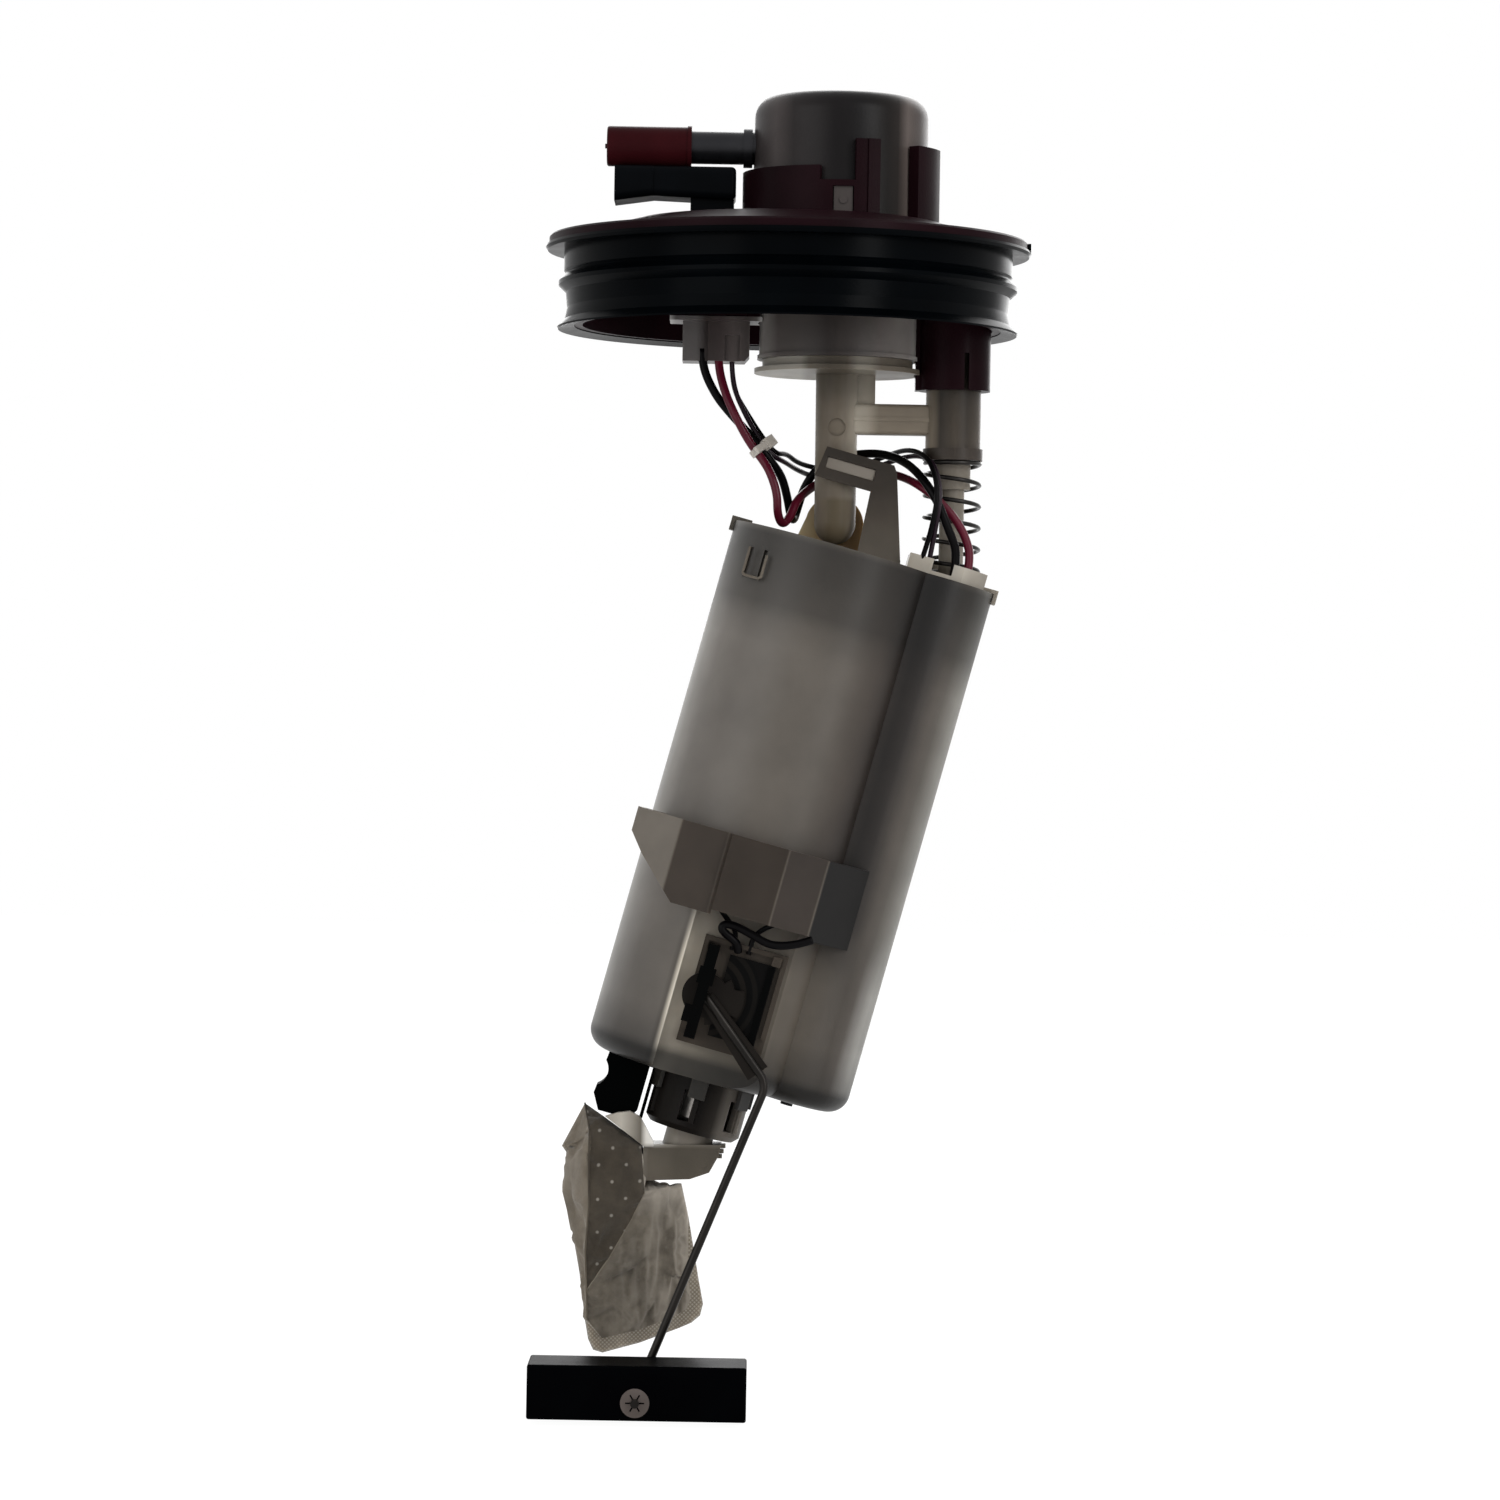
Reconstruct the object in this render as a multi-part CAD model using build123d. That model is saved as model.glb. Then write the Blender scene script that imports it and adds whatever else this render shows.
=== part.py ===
from build123d import *
import os
from math import cos, pi, radians, sin, sqrt, tan

# Fuel pump module for a plastic tank. Millimetres, +Z up, the viewer's side is -Y.
# The origin is on the axis of the round top plate, at the level where the seal's lip
# rests on the tank. The reservoir hangs from the top plate and is tilted at rest.

# Clearances
STAND_OFF = 0.4
RUNNING = 0.05
SEATED = 0.02

# Top plate, with its skirt and the boss of the guide post
SKIRT_R = 62.0
RIM_REACH = 7.6
RIM_R = SKIRT_R + RIM_REACH
RIM_THICK = 2.6
RIM_LEDGE = 7.5
PLATEAU_R = 45.0
PLATEAU_TOP = 8.8
PLATE_WALL = 3.0
SKIRT_WALL = 2.4
SKIRT_DROP = 21.5
BOSS_R = 10.6
BOSS_DROP = 38.9
BOSS_SLOT = 1.3
BOSS_SLOT_TALL = 10.6
BOSS_FIN = 0.7
FIN_HALF = 3.2
TOWER_WALL = 1.8
TOWER_DROP = 18.4

# Seal round the skirt
LIP_REACH = 1.0
LIP_R = RIM_R + LIP_REACH
LIP_THICK = 1.6
SEAL_WALL = 3.2
SEAL_R = SKIRT_R + SEAL_WALL
SEAL_RIB_R = SEAL_R + 1.5
SEAL_RIB_DROP = 9.6
SEAL_WAIST_R = SEAL_R - 1.0
SEAL_FOOT_R = SEAL_R + 1.8
SEAL_FOOT_DROP = 22.8
EAR_HALF_WIDTH = 7.0
EAR_RISE = 2.2

# Canister of the filter, seated inside the collar
CAN_X = 14.8
CAN_FOOT_R = 25.6
CAN_TOP_R = 25.1
CAN_TOP = 45.7
CAN_EDGE = 6.0
CAN_WALL = 0.9
CAN_FLOOR = 1.2
COLLAR_WALL = 2.5
COLLAR_TOP = 23.4
COLLAR_STEP = 19.2
TAB_TOP = 31.1
TAB_STEP = 0.9
TAB_WALL = 3.6
TAB_RIB_WALL = 3.1
FEED_SPIGOT_R = 4.0
FEED_SPIGOT_BORE = 2.6
RETURN_SPIGOT_R = 3.4
RETURN_SPIGOT_BORE = 2.2
RETURN_OFFSET = 13.2
SPIGOT_DROP = 6.5
GROMMET_WALL = 1.6
REGULATOR_R = 7.2
REGULATOR_TALL = 17.0
PLEATS = 16

# Outlet tube and its shipping cap
NIPPLE_R = 4.75
NIPPLE_BORE = 3.2
NIPPLE_Z = 30.8
NIPPLE_END_X = -49.6
WELD_R = 5.7
WELD_LONG = 2.6
CAP_WALL = 1.05
CAP_OPEN_X = -28.7
CAP_CLOSED_X = -53.3
CAP_FLARE = 0.35

# Harness socket on the top plate
SOCKET_MOUTH_X = -50.8
SOCKET_SEAM_X = -39.7
SOCKET_END_X = -15.6
SOCKET_Z = 19.4
SOCKET_WIDE = 19.0
SOCKET_MOUTH_TALL = 10.3
SOCKET_SEAM_TALL = 8.7
SOCKET_BODY_TALL = 9.6
SOCKET_WALL = 1.2
SOCKET_DEEP = 20.0
STEM_X = -22.4
STEM_LONG = 12.6
STEM_WIDE = 12.0
BLADES = 4
BLADE_PITCH = 3.6
BLADE_WIDE = 1.5
BLADE_THICK = 0.64
BLADE_LONG = 16.0

# Connector under the top plate
INNER_X = -20.6
INNER_LONG = 19.4
INNER_WIDE = 13.0
INNER_TOP = -20.0
INNER_BOTTOM = -31.6
INNER_PLATE_LONG = 27.0
INNER_PLATE_THICK = 1.3
SEAT_PLATE_TALL = 1.8

# Cup under the top plate, and the manifold that closes it
CUP_R = 22.9
CUP_WALL = 1.6
CUP_BOTTOM = -30.6
NECK_R = 21.9
PLATE_R = 24.2
PLATE_TOP = -33.2
PLATE_BOTTOM = -34.6
STANDPIPE_TOP_R = 6.2
STANDPIPE_END_R = 6.0
STANDPIPE_BORE = 3.4
WEB_REACH = 11.1
WEB_THICK = 2.6
BEAM_TOP = -43.0
BEAM_BOTTOM = -51.9
BEAM_THICK = 7.0
DIMPLE_R = 2.6
DIMPLE_DEEP = 1.1
DIMPLE_Z = -50.2
POST_X = 48.75
POST_R = 8.0
POST_HOLD = 12.0
POST_SHOULDER = -55.7
POST_MID_R = 5.3
POST_MID_END = -67.5
POST_TIP_R = 3.6
POST_TIP_END = -97.0
RING_R = 8.7
RING_THICK = 3.4

# Return spring round the post
SPRING_R = 8.6
SPRING_WIRE_R = 0.65
SPRING_TURNS = 5

# Swivel at the lower end of the standpipe, and the tilt of the reservoir
PIVOT = (14.8, 0.0, -78.0)
TILT = 15.0
TRUNNION_R = 4.0
TRUNNION_BORE = 2.4
TRUNNION_LONG = 8.4
SOCKET_CHEEK = 6.7
SWIVEL_R = 8.5
SWIVEL_DEEP = 10.5
SWIVEL_FLARE = 1.2
ORING_R = 0.8

# Reservoir, measured from the swivel with the reservoir upright
MAIN_X = 3.0
MAIN_R = 31.0
LOBE_X = 33.0
LOBE_R = 17.0
SHELL_TOP = -7.0
SHELL_BOTTOM = -165.0
SHELL_WALL = 1.8
SHELL_FILLET = 6.0
POCKET_DEEP = 7.0
POCKET_Y = POCKET_DEEP - MAIN_R
POCKET_LEFT = -7.6
LATCH_X = -18.9
LATCH_Z = -18.2
LATCH_LONG = 9.0
LATCH_WIDE = 5.4
LATCH_SLOT = 1.1
LATCH_DEEP = 0.9

# Lid of the reservoir
LID_THICK = 2.4
LID_SKIRT = 25.0
LID_SKIRT_WALL = 1.4
SEAT_X = 35.0
SEAT_RISE = 4.6
SEAT_WALL = 2.4
SEAT_GAP = 0.7
POST_PLAY = 0.8
POST_SWING = 4.6
POST_SHIFT = 1.2
VENT_X = 20.0
VENT_Y = 14.0
VENT_R = 5.0
HOOK_WIDE = 6.0
HOOK_THICK = 1.2
HOOK_DROP = 3.0

# Slotted bracket on the lid
BRACKET_Y = -9.0
BRACKET_THICK = 1.6
BRACKET_LEFT = -8.3
BRACKET_RIGHT = 11.9
BRACKET_TOP = 20.6
BRACKET_BAR_BOTTOM = 11.5
BRACKET_FOOT_LEFT = 8.5
BRACKET_FOOT_RIGHT = 21.6
BRACKET_FLANGE = 5.2
SLOT_LONG = 14.6
SLOT_TALL = 3.5
SLOT_Z = 16.2
SLOT_WEB = 0.5

# Pump inside the reservoir, and its holder under the floor
PUMP_X = 8.4
PUMP_R = 13.4
PUMP_TOP = -72.0
PUMP_NOSE_R = 9.0
SLEEVE_WALL = 2.4
SLEEVE_LONG = 60.0
SLEEVE_RIBS = 6
INLET_R = 4.0
END_CAP_R = 14.0
END_CAP_WALL = 2.0
END_CAP_BOTTOM = -181.2
WINDOWS = 6
WINDOW_WIDE = 3.4
WINDOW_TALL = 9.0
WINDOW_BEARING = -104.0
HOSE_R = 4.2
HOSE_BORE = 2.7
PORT_R = 2.6
PORT_LONG = 12.0
CLIP_TABS = 6
CLIP_BEARING = -95.0
CLIP_WIDE = 5.0
CLIP_THICK = 1.3
CLIP_LONG = 6.0
VALVE_X = 33.0
VALVE_R = 6.0
VALVE_HOLES = 4
VALVE_HOLE_R = 1.2
VALVE_STEM_R = 1.3

# Rubber foot under the floor
FOOT_X = -14.4
FOOT_LONG = 12.4
FOOT_WIDE = 13.0
FOOT_BOTTOM = -182.4
FOOT_STEM_R = 2.6
FOOT_HOLLOW_R = 5.0

# Axle of the float arm
AXLE_X = 1.25
AXLE_Z = -140.7

# Level sender on the pocket, measured up and down from the axle
SENDER_X = 9.2
SENDER_WIDE = 24.6
SENDER_TOP = AXLE_Z + 16.7
SENDER_BOTTOM = AXLE_Z - 14.7
POCKET_TOP = SENDER_TOP + 12.0

# Splash shield in front of the pocket
SHIELD_OUT = 4.6
SHIELD_OVER = 3.8
SHIELD_INSIDE = 4.0
SHIELD_WALL = 1.5
SHIELD_TALL = 23.7
SHIELD_BOTTOM = SENDER_TOP + 6.1
SHIELD_TOP = SHIELD_BOTTOM + SHIELD_TALL
SHIELD_FRONT = -MAIN_R - SHIELD_OUT
SHIELD_STEP = 2.4
SHIELD_LEFT = MAIN_X - MAIN_R - SHIELD_OVER
SHIELD_TUCK = MAIN_X - MAIN_R + SHIELD_INSIDE
SHIELD_RIGHT = LOBE_X + 3.6
FOLD_LEFT_X = -18.5
FOLD_STEP_X = -4.6
FOLD_MIDDLE_X = 13.3
FOLD_RIGHT_X = 24.9
SLANT_X = -15.4
SLANT_RISE = 16.6
SLANT_KNEE = (4.5, 11.2)
HEM_LEFT_X = -3.6
HEM_RIGHT_X = 26.0
HEM_RISE = 1.4

# Pieces of the level sender
FRAME_BASE = 1.8
FRAME_RIM = 1.6
FRAME_WALL = 1.4
BOARD_THICK = 1.0
BOARD_X = 12.0
BOARD_WIDE = 13.6
BOARD_TALL = 24.0
BOARD_LIFT = 1.0
TRACK_R = 10.4
AXLE_BOSS_R = 3.2
ROTOR_DISC_R = 6.5
ROTOR_FAN_R = 8.6
FINGER_R = 11.4
ROTOR_THICK = 1.6
STRAP_X = 0.2
STRAP_HALF = 2.4
STRAP_TOP = AXLE_Z + 14.7
STRAP_BOTTOM = AXLE_Z - 12.8
STRAP_THICK = 1.4
STRAP_GAP = 0.7
STRAP_LEG = 2.2
RAIL_X = 17.6
RAIL_HALF = 0.9
RAIL_THICK = 0.9
RAIL_INSET = 0.6
CHANNEL_HALF = 2.2
CHANNEL_LONG = 27.0
CHANNEL_RISE = 1.3

# Float arm and float
ARM_R = 1.2
ARM_OUT = 7.4
ARM_Y = POCKET_Y - ARM_OUT
ARM_BEND_X = 25.3
ARM_BEND_Z = -160.2
FLOAT_HOLE_X = 13.8
FLOAT_HOLE_Z = -254.7
ARM_BEND_R = 6.0
HOOK_BEND_R = 3.0
FLOAT_LONG = 61.6
FLOAT_TALL = 15.4
FLOAT_DEEP = 24.0
FLOAT_GAP = 0.6
FLOAT_BACK = ARM_Y - ARM_R - FLOAT_GAP
FLOAT_OFF_CENTRE = -0.4
FLOAT_HOLE_RISE = -2.6
WASHER_R = 4.1
WASHER_THICK = 0.5
WASHER_TEETH = 6
AXLE_BEND_R = 2.0

# Strainer: elbow under the pump's holder, and the felt sock
DUCT_TOP = -258.8
DUCT_TALL = 10.6
DUCT_WALL = 1.3
DUCT_DEEP = 15.0
DUCT_MOUTH_X = -37.6
DUCT_END_X = -15.0
HOOD_Y = -10.3
HOOD_DEEP = 3.4
HOOD_CORNERS = (
    (-11.1, 8.0),
    (-7.6, 9.1),
    (-3.9, 9.6),
    (-1.0, 8.0),
    (0.6, 5.2),
    (2.2, 2.2),
    (3.0, 0.8),
    (3.0, -0.5),
    (0.2, -0.5),
)
COLLAR_R = 7.0
COLLAR_DROP = 5.6

# Wires: their radii, and where each leaves the inner connector and enters the lid
THICK_WIRE_R = 1.25
THIN_WIRE_R = 0.75
WIRE_GRIP = 3.6
WIRE_PLAY = 0.35
WIRE_RISE = 2.4
BLACK_EXIT = (-24.6, -4.0)
RED_EXIT = (-19.9, -4.4)
PURPLE_EXIT = (-16.0, -2.2)
SENDER_EXIT = (-16.0, 0.8)
BLACK_ENTRY = (37.2, -11.9)
RED_ENTRY = (41.0, -10.4)
PURPLE_ENTRY = (29.6, -10.9)
SENDER_ENTRY = (26.6, -11.9)
WIRE_EXITS = (
    (BLACK_EXIT, THICK_WIRE_R),
    (RED_EXIT, THICK_WIRE_R),
    (PURPLE_EXIT, THIN_WIRE_R),
    (SENDER_EXIT, THIN_WIRE_R),
)
WIRE_ENTRIES = (
    (BLACK_ENTRY, THICK_WIRE_R),
    (RED_ENTRY, THICK_WIRE_R),
    (PURPLE_ENTRY, THIN_WIRE_R),
    (SENDER_ENTRY, THIN_WIRE_R),
)
SENDER_WIRE_HOLES = ((-5.0, -105.0), (19.5, -105.0))
LEAD_HOLE_R = 1.6
LEAD_ENDS = (5.2, 10.1)
TIE_AT = (-6.4, -5.3, -56.5)
TIE_RUN = 3.6
TIE_PLAY = 0.1
TIE_THICK = 0.6
TIE_WIDE = 2.0
TIE_TAIL = 7.0
RED_IN_TIE = -3.6
BLACK_IN_TIE = -1.0
PURPLE_IN_TIE = 1.1
SENDER_IN_TIE = 2.7


def block(x, y, z):
    """A box between two limits along each direction."""
    size = [high - low for low, high in (x, y, z)]
    middle = [(low + high) / 2 for low, high in (x, y, z)]
    return Pos(*middle) * Box(*size)


def rod(radius, start, end):
    """A round bar between two points."""
    along = Vector(*end) - Vector(*start)
    return Plane(origin=start, z_dir=along) * Cylinder(
        radius, along.length, align=(Align.CENTER, Align.CENTER, Align.MIN)
    )


def tube(outer, bore, start, end):
    """A round bar with a bore right through it."""
    return rod(outer, start, end) - rod(bore, start, end)


def upright(x, low, high, y=0.0):
    """The two ends of a piece that stands along Z."""
    return (x, y, low), (x, y, high)


def turned(points, x=0.0, y=0.0):
    """A solid of revolution about the vertical axis at x, y from its half outline."""
    face = make_face(Plane.XZ * Polyline(*points, close=True))
    return Pos(x, y, 0) * revolve(face, Axis.Z)


def front_plate(points, y_front, thick):
    """A flat plate cut to an outline seen from the front."""
    face = make_face(Plane.XZ * Polyline(*points, close=True))
    return Pos(0, y_front + thick, 0) * extrude(face, amount=thick, dir=(0, -1, 0))


def hung(shape):
    """Takes a piece drawn about the swivel, reservoir upright, to its place at rest."""
    return Pos(*PIVOT) * Rot(0, TILT, 0) * shape


def hung_point(x, y, z):
    """The place at rest of a point drawn about the swivel."""
    turn = radians(TILT)
    return (
        PIVOT[0] + x * cos(turn) + z * sin(turn),
        PIVOT[1] + y,
        PIVOT[2] - x * sin(turn) + z * cos(turn),
    )


def polar(reach, bearing):
    """A point in the plane from its distance and its bearing in degrees."""
    return (reach * cos(radians(bearing)), reach * sin(radians(bearing)))


def sector(start, end, reach, low, high):
    """A wedge about the vertical axis, used to keep part of a ring."""
    step = (end - start) / 4
    rim = [polar(reach, start + i * step) for i in range(5)]
    face = make_face(Polyline((0, 0), *rim, close=True))
    return Pos(0, 0, low) * extrude(face, amount=high - low)


def bend_radii(points):
    """The largest even bend at each inner point of a wire's route."""
    radii = []
    for before, here, after in zip(points, points[1:], points[2:]):
        run_in = Vector(*here) - Vector(*before)
        run_out = Vector(*after) - Vector(*here)
        half_turn = radians(run_in.get_angle(run_out)) / 2
        radii.append(0.45 * min(run_in.length, run_out.length) / tan(half_turn))
    return radii


def wire(name, points, radius):
    """A round wire of straight runs joined by tangent arcs."""
    radii = bend_radii(points)
    path = FilletPolyline(*points, radius=radii)
    solid = sweep(Plane(path @ 0, z_dir=path % 0) * Circle(radius), path=path)
    print(name, "length", round(path.length, 1), "tightest bend", round(min(radii), 1))
    share = solid.volume / (pi * radius**2 * path.length)
    print(name, "volume over section by length", round(share, 4))
    return solid


# Top plate
def collar_ring(low, high, wall):
    """A full ring of the collar round the canister."""
    inner = CAN_FOOT_R + STAND_OFF
    return tube(inner + wall, inner, *upright(0, low, high))


def collar_piece(start, end, top, wall=COLLAR_WALL):
    """The part of the collar between two bearings, up to its own height."""
    reach = 2 * CAN_FOOT_R
    return collar_ring(PLATEAU_TOP - 0.5, top, wall) & sector(start, end, reach, 0, top + 1)


def boss_room(low, high):
    """The space kept free round the boss and its fin."""
    left = POST_X - BOSS_R - BOSS_FIN - STAND_OFF
    half = FIN_HALF + STAND_OFF
    fin_room = block((left, POST_X), (-half, half), (low, high))
    return rod(BOSS_R + STAND_OFF, *upright(POST_X, low, high)) + fin_room


def flange():
    rim_top = LIP_THICK + RIM_THICK
    inner = SKIRT_R - SKIRT_WALL
    under = PLATEAU_TOP - PLATE_WALL
    body = turned(
        [
            (0, PLATEAU_TOP),
            (PLATEAU_R, PLATEAU_TOP),
            (RIM_R - RIM_LEDGE, rim_top),
            (RIM_R - 0.6, rim_top),
            (RIM_R, rim_top - 0.6),
            (RIM_R, LIP_THICK),
            (SKIRT_R, LIP_THICK),
            (SKIRT_R, -SKIRT_DROP),
            (inner, -SKIRT_DROP),
            (inner, rim_top - PLATE_WALL),
            (PLATEAU_R, under),
            (0, under),
        ]
    )
    boss_bore = POST_R + RUNNING
    boss = rod(BOSS_R, *upright(POST_X, -BOSS_DROP, under + 1))
    fin_left = POST_X - BOSS_R - BOSS_FIN
    fin = block((fin_left, POST_X - POST_R - 1), (-FIN_HALF, FIN_HALF), (-BOSS_DROP, under + 1))
    tower_long, tower_wide = INNER_LONG - 2, INNER_WIDE + 2 * TOWER_WALL
    tower = block(
        (INNER_X - tower_long / 2, INNER_X + tower_long / 2),
        (-tower_wide / 2, tower_wide / 2),
        (-TOWER_DROP, under + 1),
    )
    collar = collar_piece(148, 257, COLLAR_TOP)
    collar += collar_piece(255, 280, COLLAR_STEP)
    collar += collar_piece(278, 292, TAB_TOP)
    collar += collar_piece(285, 292, TAB_TOP, TAB_RIB_WALL)
    collar += collar_piece(318, 345, TAB_TOP - TAB_STEP, TAB_WALL)
    collar += collar_piece(60, 75, TAB_TOP)
    collar += collar_piece(75, 148, COLLAR_STEP)
    collar += collar_piece(15, 40, TAB_TOP - TAB_STEP, TAB_WALL)
    plate = body + boss + fin + tower + Pos(CAN_X, 0, 0) * collar
    plate -= rod(boss_bore, *upright(POST_X, -BOSS_DROP - 1, -BOSS_DROP + POST_HOLD))
    slot_left = POST_X + BOSS_R / 4
    plate -= block(
        (slot_left, slot_left + BOSS_SLOT),
        (-BOSS_R - 1, -POST_R / 2),
        (-BOSS_DROP - 1, -BOSS_DROP + BOSS_SLOT_TALL),
    )
    plate -= window_cut()
    plate -= connector_passage()
    plate -= rod(FEED_SPIGOT_R + GROMMET_WALL, *upright(CAN_X, under - 1, PLATEAU_TOP + 1))
    plate -= rod(RETURN_SPIGOT_R + GROMMET_WALL, *upright(CAN_X + RETURN_OFFSET, under - 1, PLATEAU_TOP + 1))
    return plate


def window_cut():
    """The low window in the front of the collar."""
    outer = CAN_FOOT_R + STAND_OFF + COLLAR_WALL
    across, tall = (CAN_X - 2.6, CAN_X + 3.4), (PLATEAU_TOP + 0.8, COLLAR_STEP - 1.8)
    return block(across, (-outer - 1, -outer + COLLAR_WALL + 1), tall)


def connector_passage():
    """The opening in the plate and its tower where the two connectors meet."""
    return block(
        (STEM_X - STEM_LONG / 2 + 1, STEM_X + STEM_LONG / 2 - 1),
        (-STEM_WIDE / 2 + 1, STEM_WIDE / 2 - 1),
        (-TOWER_DROP - 1, PLATEAU_TOP + 1),
    )


def flange_seal():
    inner = SKIRT_R + SEATED
    ring = turned(
        [
            (inner, LIP_THICK),
            (LIP_R - 0.4, LIP_THICK),
            (LIP_R, LIP_THICK / 2),
            (LIP_R - 0.6, 0),
            (SEAL_R, 0),
            (SEAL_R, -SEAL_RIB_DROP + 3.6),
            (SEAL_R - 0.5, -SEAL_RIB_DROP + 3.0),
            (SEAL_R, -SEAL_RIB_DROP + 2.2),
            (SEAL_RIB_R, -SEAL_RIB_DROP + 0.6),
            (SEAL_RIB_R, -SEAL_RIB_DROP - 0.6),
            (SEAL_WAIST_R + 0.4, -SEAL_RIB_DROP - 2.6),
            (SEAL_WAIST_R, -SEAL_FOOT_DROP + 6.0),
            (SEAL_WAIST_R + 0.8, -SEAL_FOOT_DROP + 2.6),
            (SEAL_FOOT_R, -SEAL_FOOT_DROP + 0.5),
            (SEAL_FOOT_R - 0.3, -SEAL_FOOT_DROP),
            (inner, -SEAL_FOOT_DROP + 1.0),
        ]
    )
    ear = tube(LIP_R, RIM_R + SEATED, *upright(0, LIP_THICK - 0.6, LIP_THICK + EAR_RISE))
    ear &= block((0, LIP_R + 1), (-EAR_HALF_WIDTH, EAR_HALF_WIDTH), (0, LIP_THICK + EAR_RISE))
    return ring + ear


# Filter canister and what belongs to it
def filter_canister():
    foot = PLATEAU_TOP + SEATED
    top_inner = CAN_TOP_R - CAN_WALL
    foot_inner = CAN_FOOT_R - CAN_WALL
    outer = turned([(0, foot), (CAN_FOOT_R, foot), (CAN_TOP_R, CAN_TOP), (0, CAN_TOP)], CAN_X)
    top_edge = outer.edges().filter_by(GeomType.CIRCLE).sort_by(Axis.Z)[-1]
    outer = fillet(top_edge, CAN_EDGE)
    low, high = foot + CAN_FLOOR, CAN_TOP - CAN_WALL
    inner = turned([(0, low), (foot_inner, low), (top_inner, high), (0, high)], CAN_X)
    inner_edge = inner.edges().filter_by(GeomType.CIRCLE).sort_by(Axis.Z)[-1]
    inner = fillet(inner_edge, CAN_EDGE - CAN_WALL)
    can = outer - inner
    can += rod(FEED_SPIGOT_R, *upright(CAN_X, foot - SPIGOT_DROP, foot + 0.6))
    can += rod(RETURN_SPIGOT_R, *upright(CAN_X + RETURN_OFFSET, foot - SPIGOT_DROP, foot + 0.6))
    can -= rod(FEED_SPIGOT_BORE, *upright(CAN_X, foot - SPIGOT_DROP - 1, foot + 2))
    can -= rod(RETURN_SPIGOT_BORE, *upright(CAN_X + RETURN_OFFSET, foot - SPIGOT_DROP - 1, foot + 2))
    outside, inside = (CAN_X - 2 * CAN_FOOT_R, 0, NIPPLE_Z), (CAN_X - CAN_FOOT_R / 2, 0, NIPPLE_Z)
    return can - rod(NIPPLE_R + SEATED, outside, inside)


def filter_element():
    """Pleated paper ring between the inlet in the middle and the can's wall."""
    low, high = PLATEAU_TOP + CAN_FLOOR + 2 * SEATED, CAN_TOP - CAN_EDGE
    root, crest = 8.4, CAN_TOP_R - CAN_WALL - 5.8
    half = 180 / PLEATS
    outline = []
    for i in range(PLEATS):
        outline.append(polar(crest, 2 * i * half))
        outline.append(polar(crest - 3.2, (2 * i + 1) * half))
    face = make_face(Polyline(*outline, close=True)) - Circle(root)
    return Pos(CAN_X, 0, low) * extrude(face, amount=high - low)


def canister_grommets():
    under = PLATEAU_TOP - PLATE_WALL
    rings = []
    for x, radius in ((CAN_X, FEED_SPIGOT_R), (CAN_X + RETURN_OFFSET, RETURN_SPIGOT_R)):
        rings.append(tube(radius + GROMMET_WALL - SEATED, radius + SEATED, *upright(x, under, PLATEAU_TOP)))
    return rings


def pressure_regulator():
    top = PLATEAU_TOP - SPIGOT_DROP
    low = top - REGULATOR_TALL
    x = CAN_X + RETURN_OFFSET
    capsule = turned(
        [
            (0, top - 0.3),
            (RETURN_SPIGOT_R + 1, top - 0.3),
            (RETURN_SPIGOT_R + 1, top - 3),
            (REGULATOR_R, top - 4.4),
            (REGULATOR_R, top - 8),
            (REGULATOR_R - 1.2, top - 9),
            (REGULATOR_R - 1.2, low + 1),
            (REGULATOR_R - 2.2, low),
            (0, low),
        ],
        x,
    )
    return capsule - rod(RETURN_SPIGOT_BORE, *upright(x, top - 5, top + 1))


def outlet_nipple():
    start = CAN_X - CAN_TOP_R + 3.0
    weld_x = CAN_X - CAN_FOOT_R - 0.2
    body = rod(NIPPLE_R, (start, 0, NIPPLE_Z), (NIPPLE_END_X, 0, NIPPLE_Z))
    body += rod(WELD_R, (weld_x, 0, NIPPLE_Z), (weld_x - WELD_LONG, 0, NIPPLE_Z))
    tip = body.edges().filter_by(GeomType.CIRCLE).sort_by(Axis.X)[0]
    body = chamfer(tip, 0.8)
    return body - rod(NIPPLE_BORE, (start + 1, 0, NIPPLE_Z), (NIPPLE_END_X - 1, 0, NIPPLE_Z))


def outlet_cap():
    bore = NIPPLE_R + RUNNING
    outer = bore + CAP_WALL
    at = (CAP_CLOSED_X, 0, NIPPLE_Z)
    cap = rod(outer, at, (CAP_OPEN_X, 0, NIPPLE_Z))
    cap += rod(outer + CAP_FLARE, (CAP_OPEN_X - 1.2, 0, NIPPLE_Z), (CAP_OPEN_X, 0, NIPPLE_Z))
    closed_edge = cap.edges().filter_by(GeomType.CIRCLE).sort_by(Axis.X)[0]
    cap = fillet(closed_edge, 0.7)
    cap -= rod(bore, (CAP_CLOSED_X + 1.6, 0, NIPPLE_Z), (CAP_OPEN_X + 1, 0, NIPPLE_Z))
    nub = rod(0.7, (CAP_CLOSED_X - 0.6, 0, NIPPLE_Z), (CAP_CLOSED_X + 1, 0, NIPPLE_Z))
    return cap + nub


def canister_clip():
    """Small sprung earthing clip behind the collar's window."""
    y = -(CAN_FOOT_R + STAND_OFF) - COLLAR_WALL / 2
    low = PLATEAU_TOP + 0.8 + SEATED
    high = COLLAR_STEP - 1.8 - SEATED
    plate = block((CAN_X - 2.3, CAN_X + 3.1), (y - 0.3, y + 0.3), (low, high))
    dimple = rod(1.1, (CAN_X + 0.4, y - 0.9, (low + high) / 2), (CAN_X + 0.4, y, (low + high) / 2))
    return plate + dimple


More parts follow.
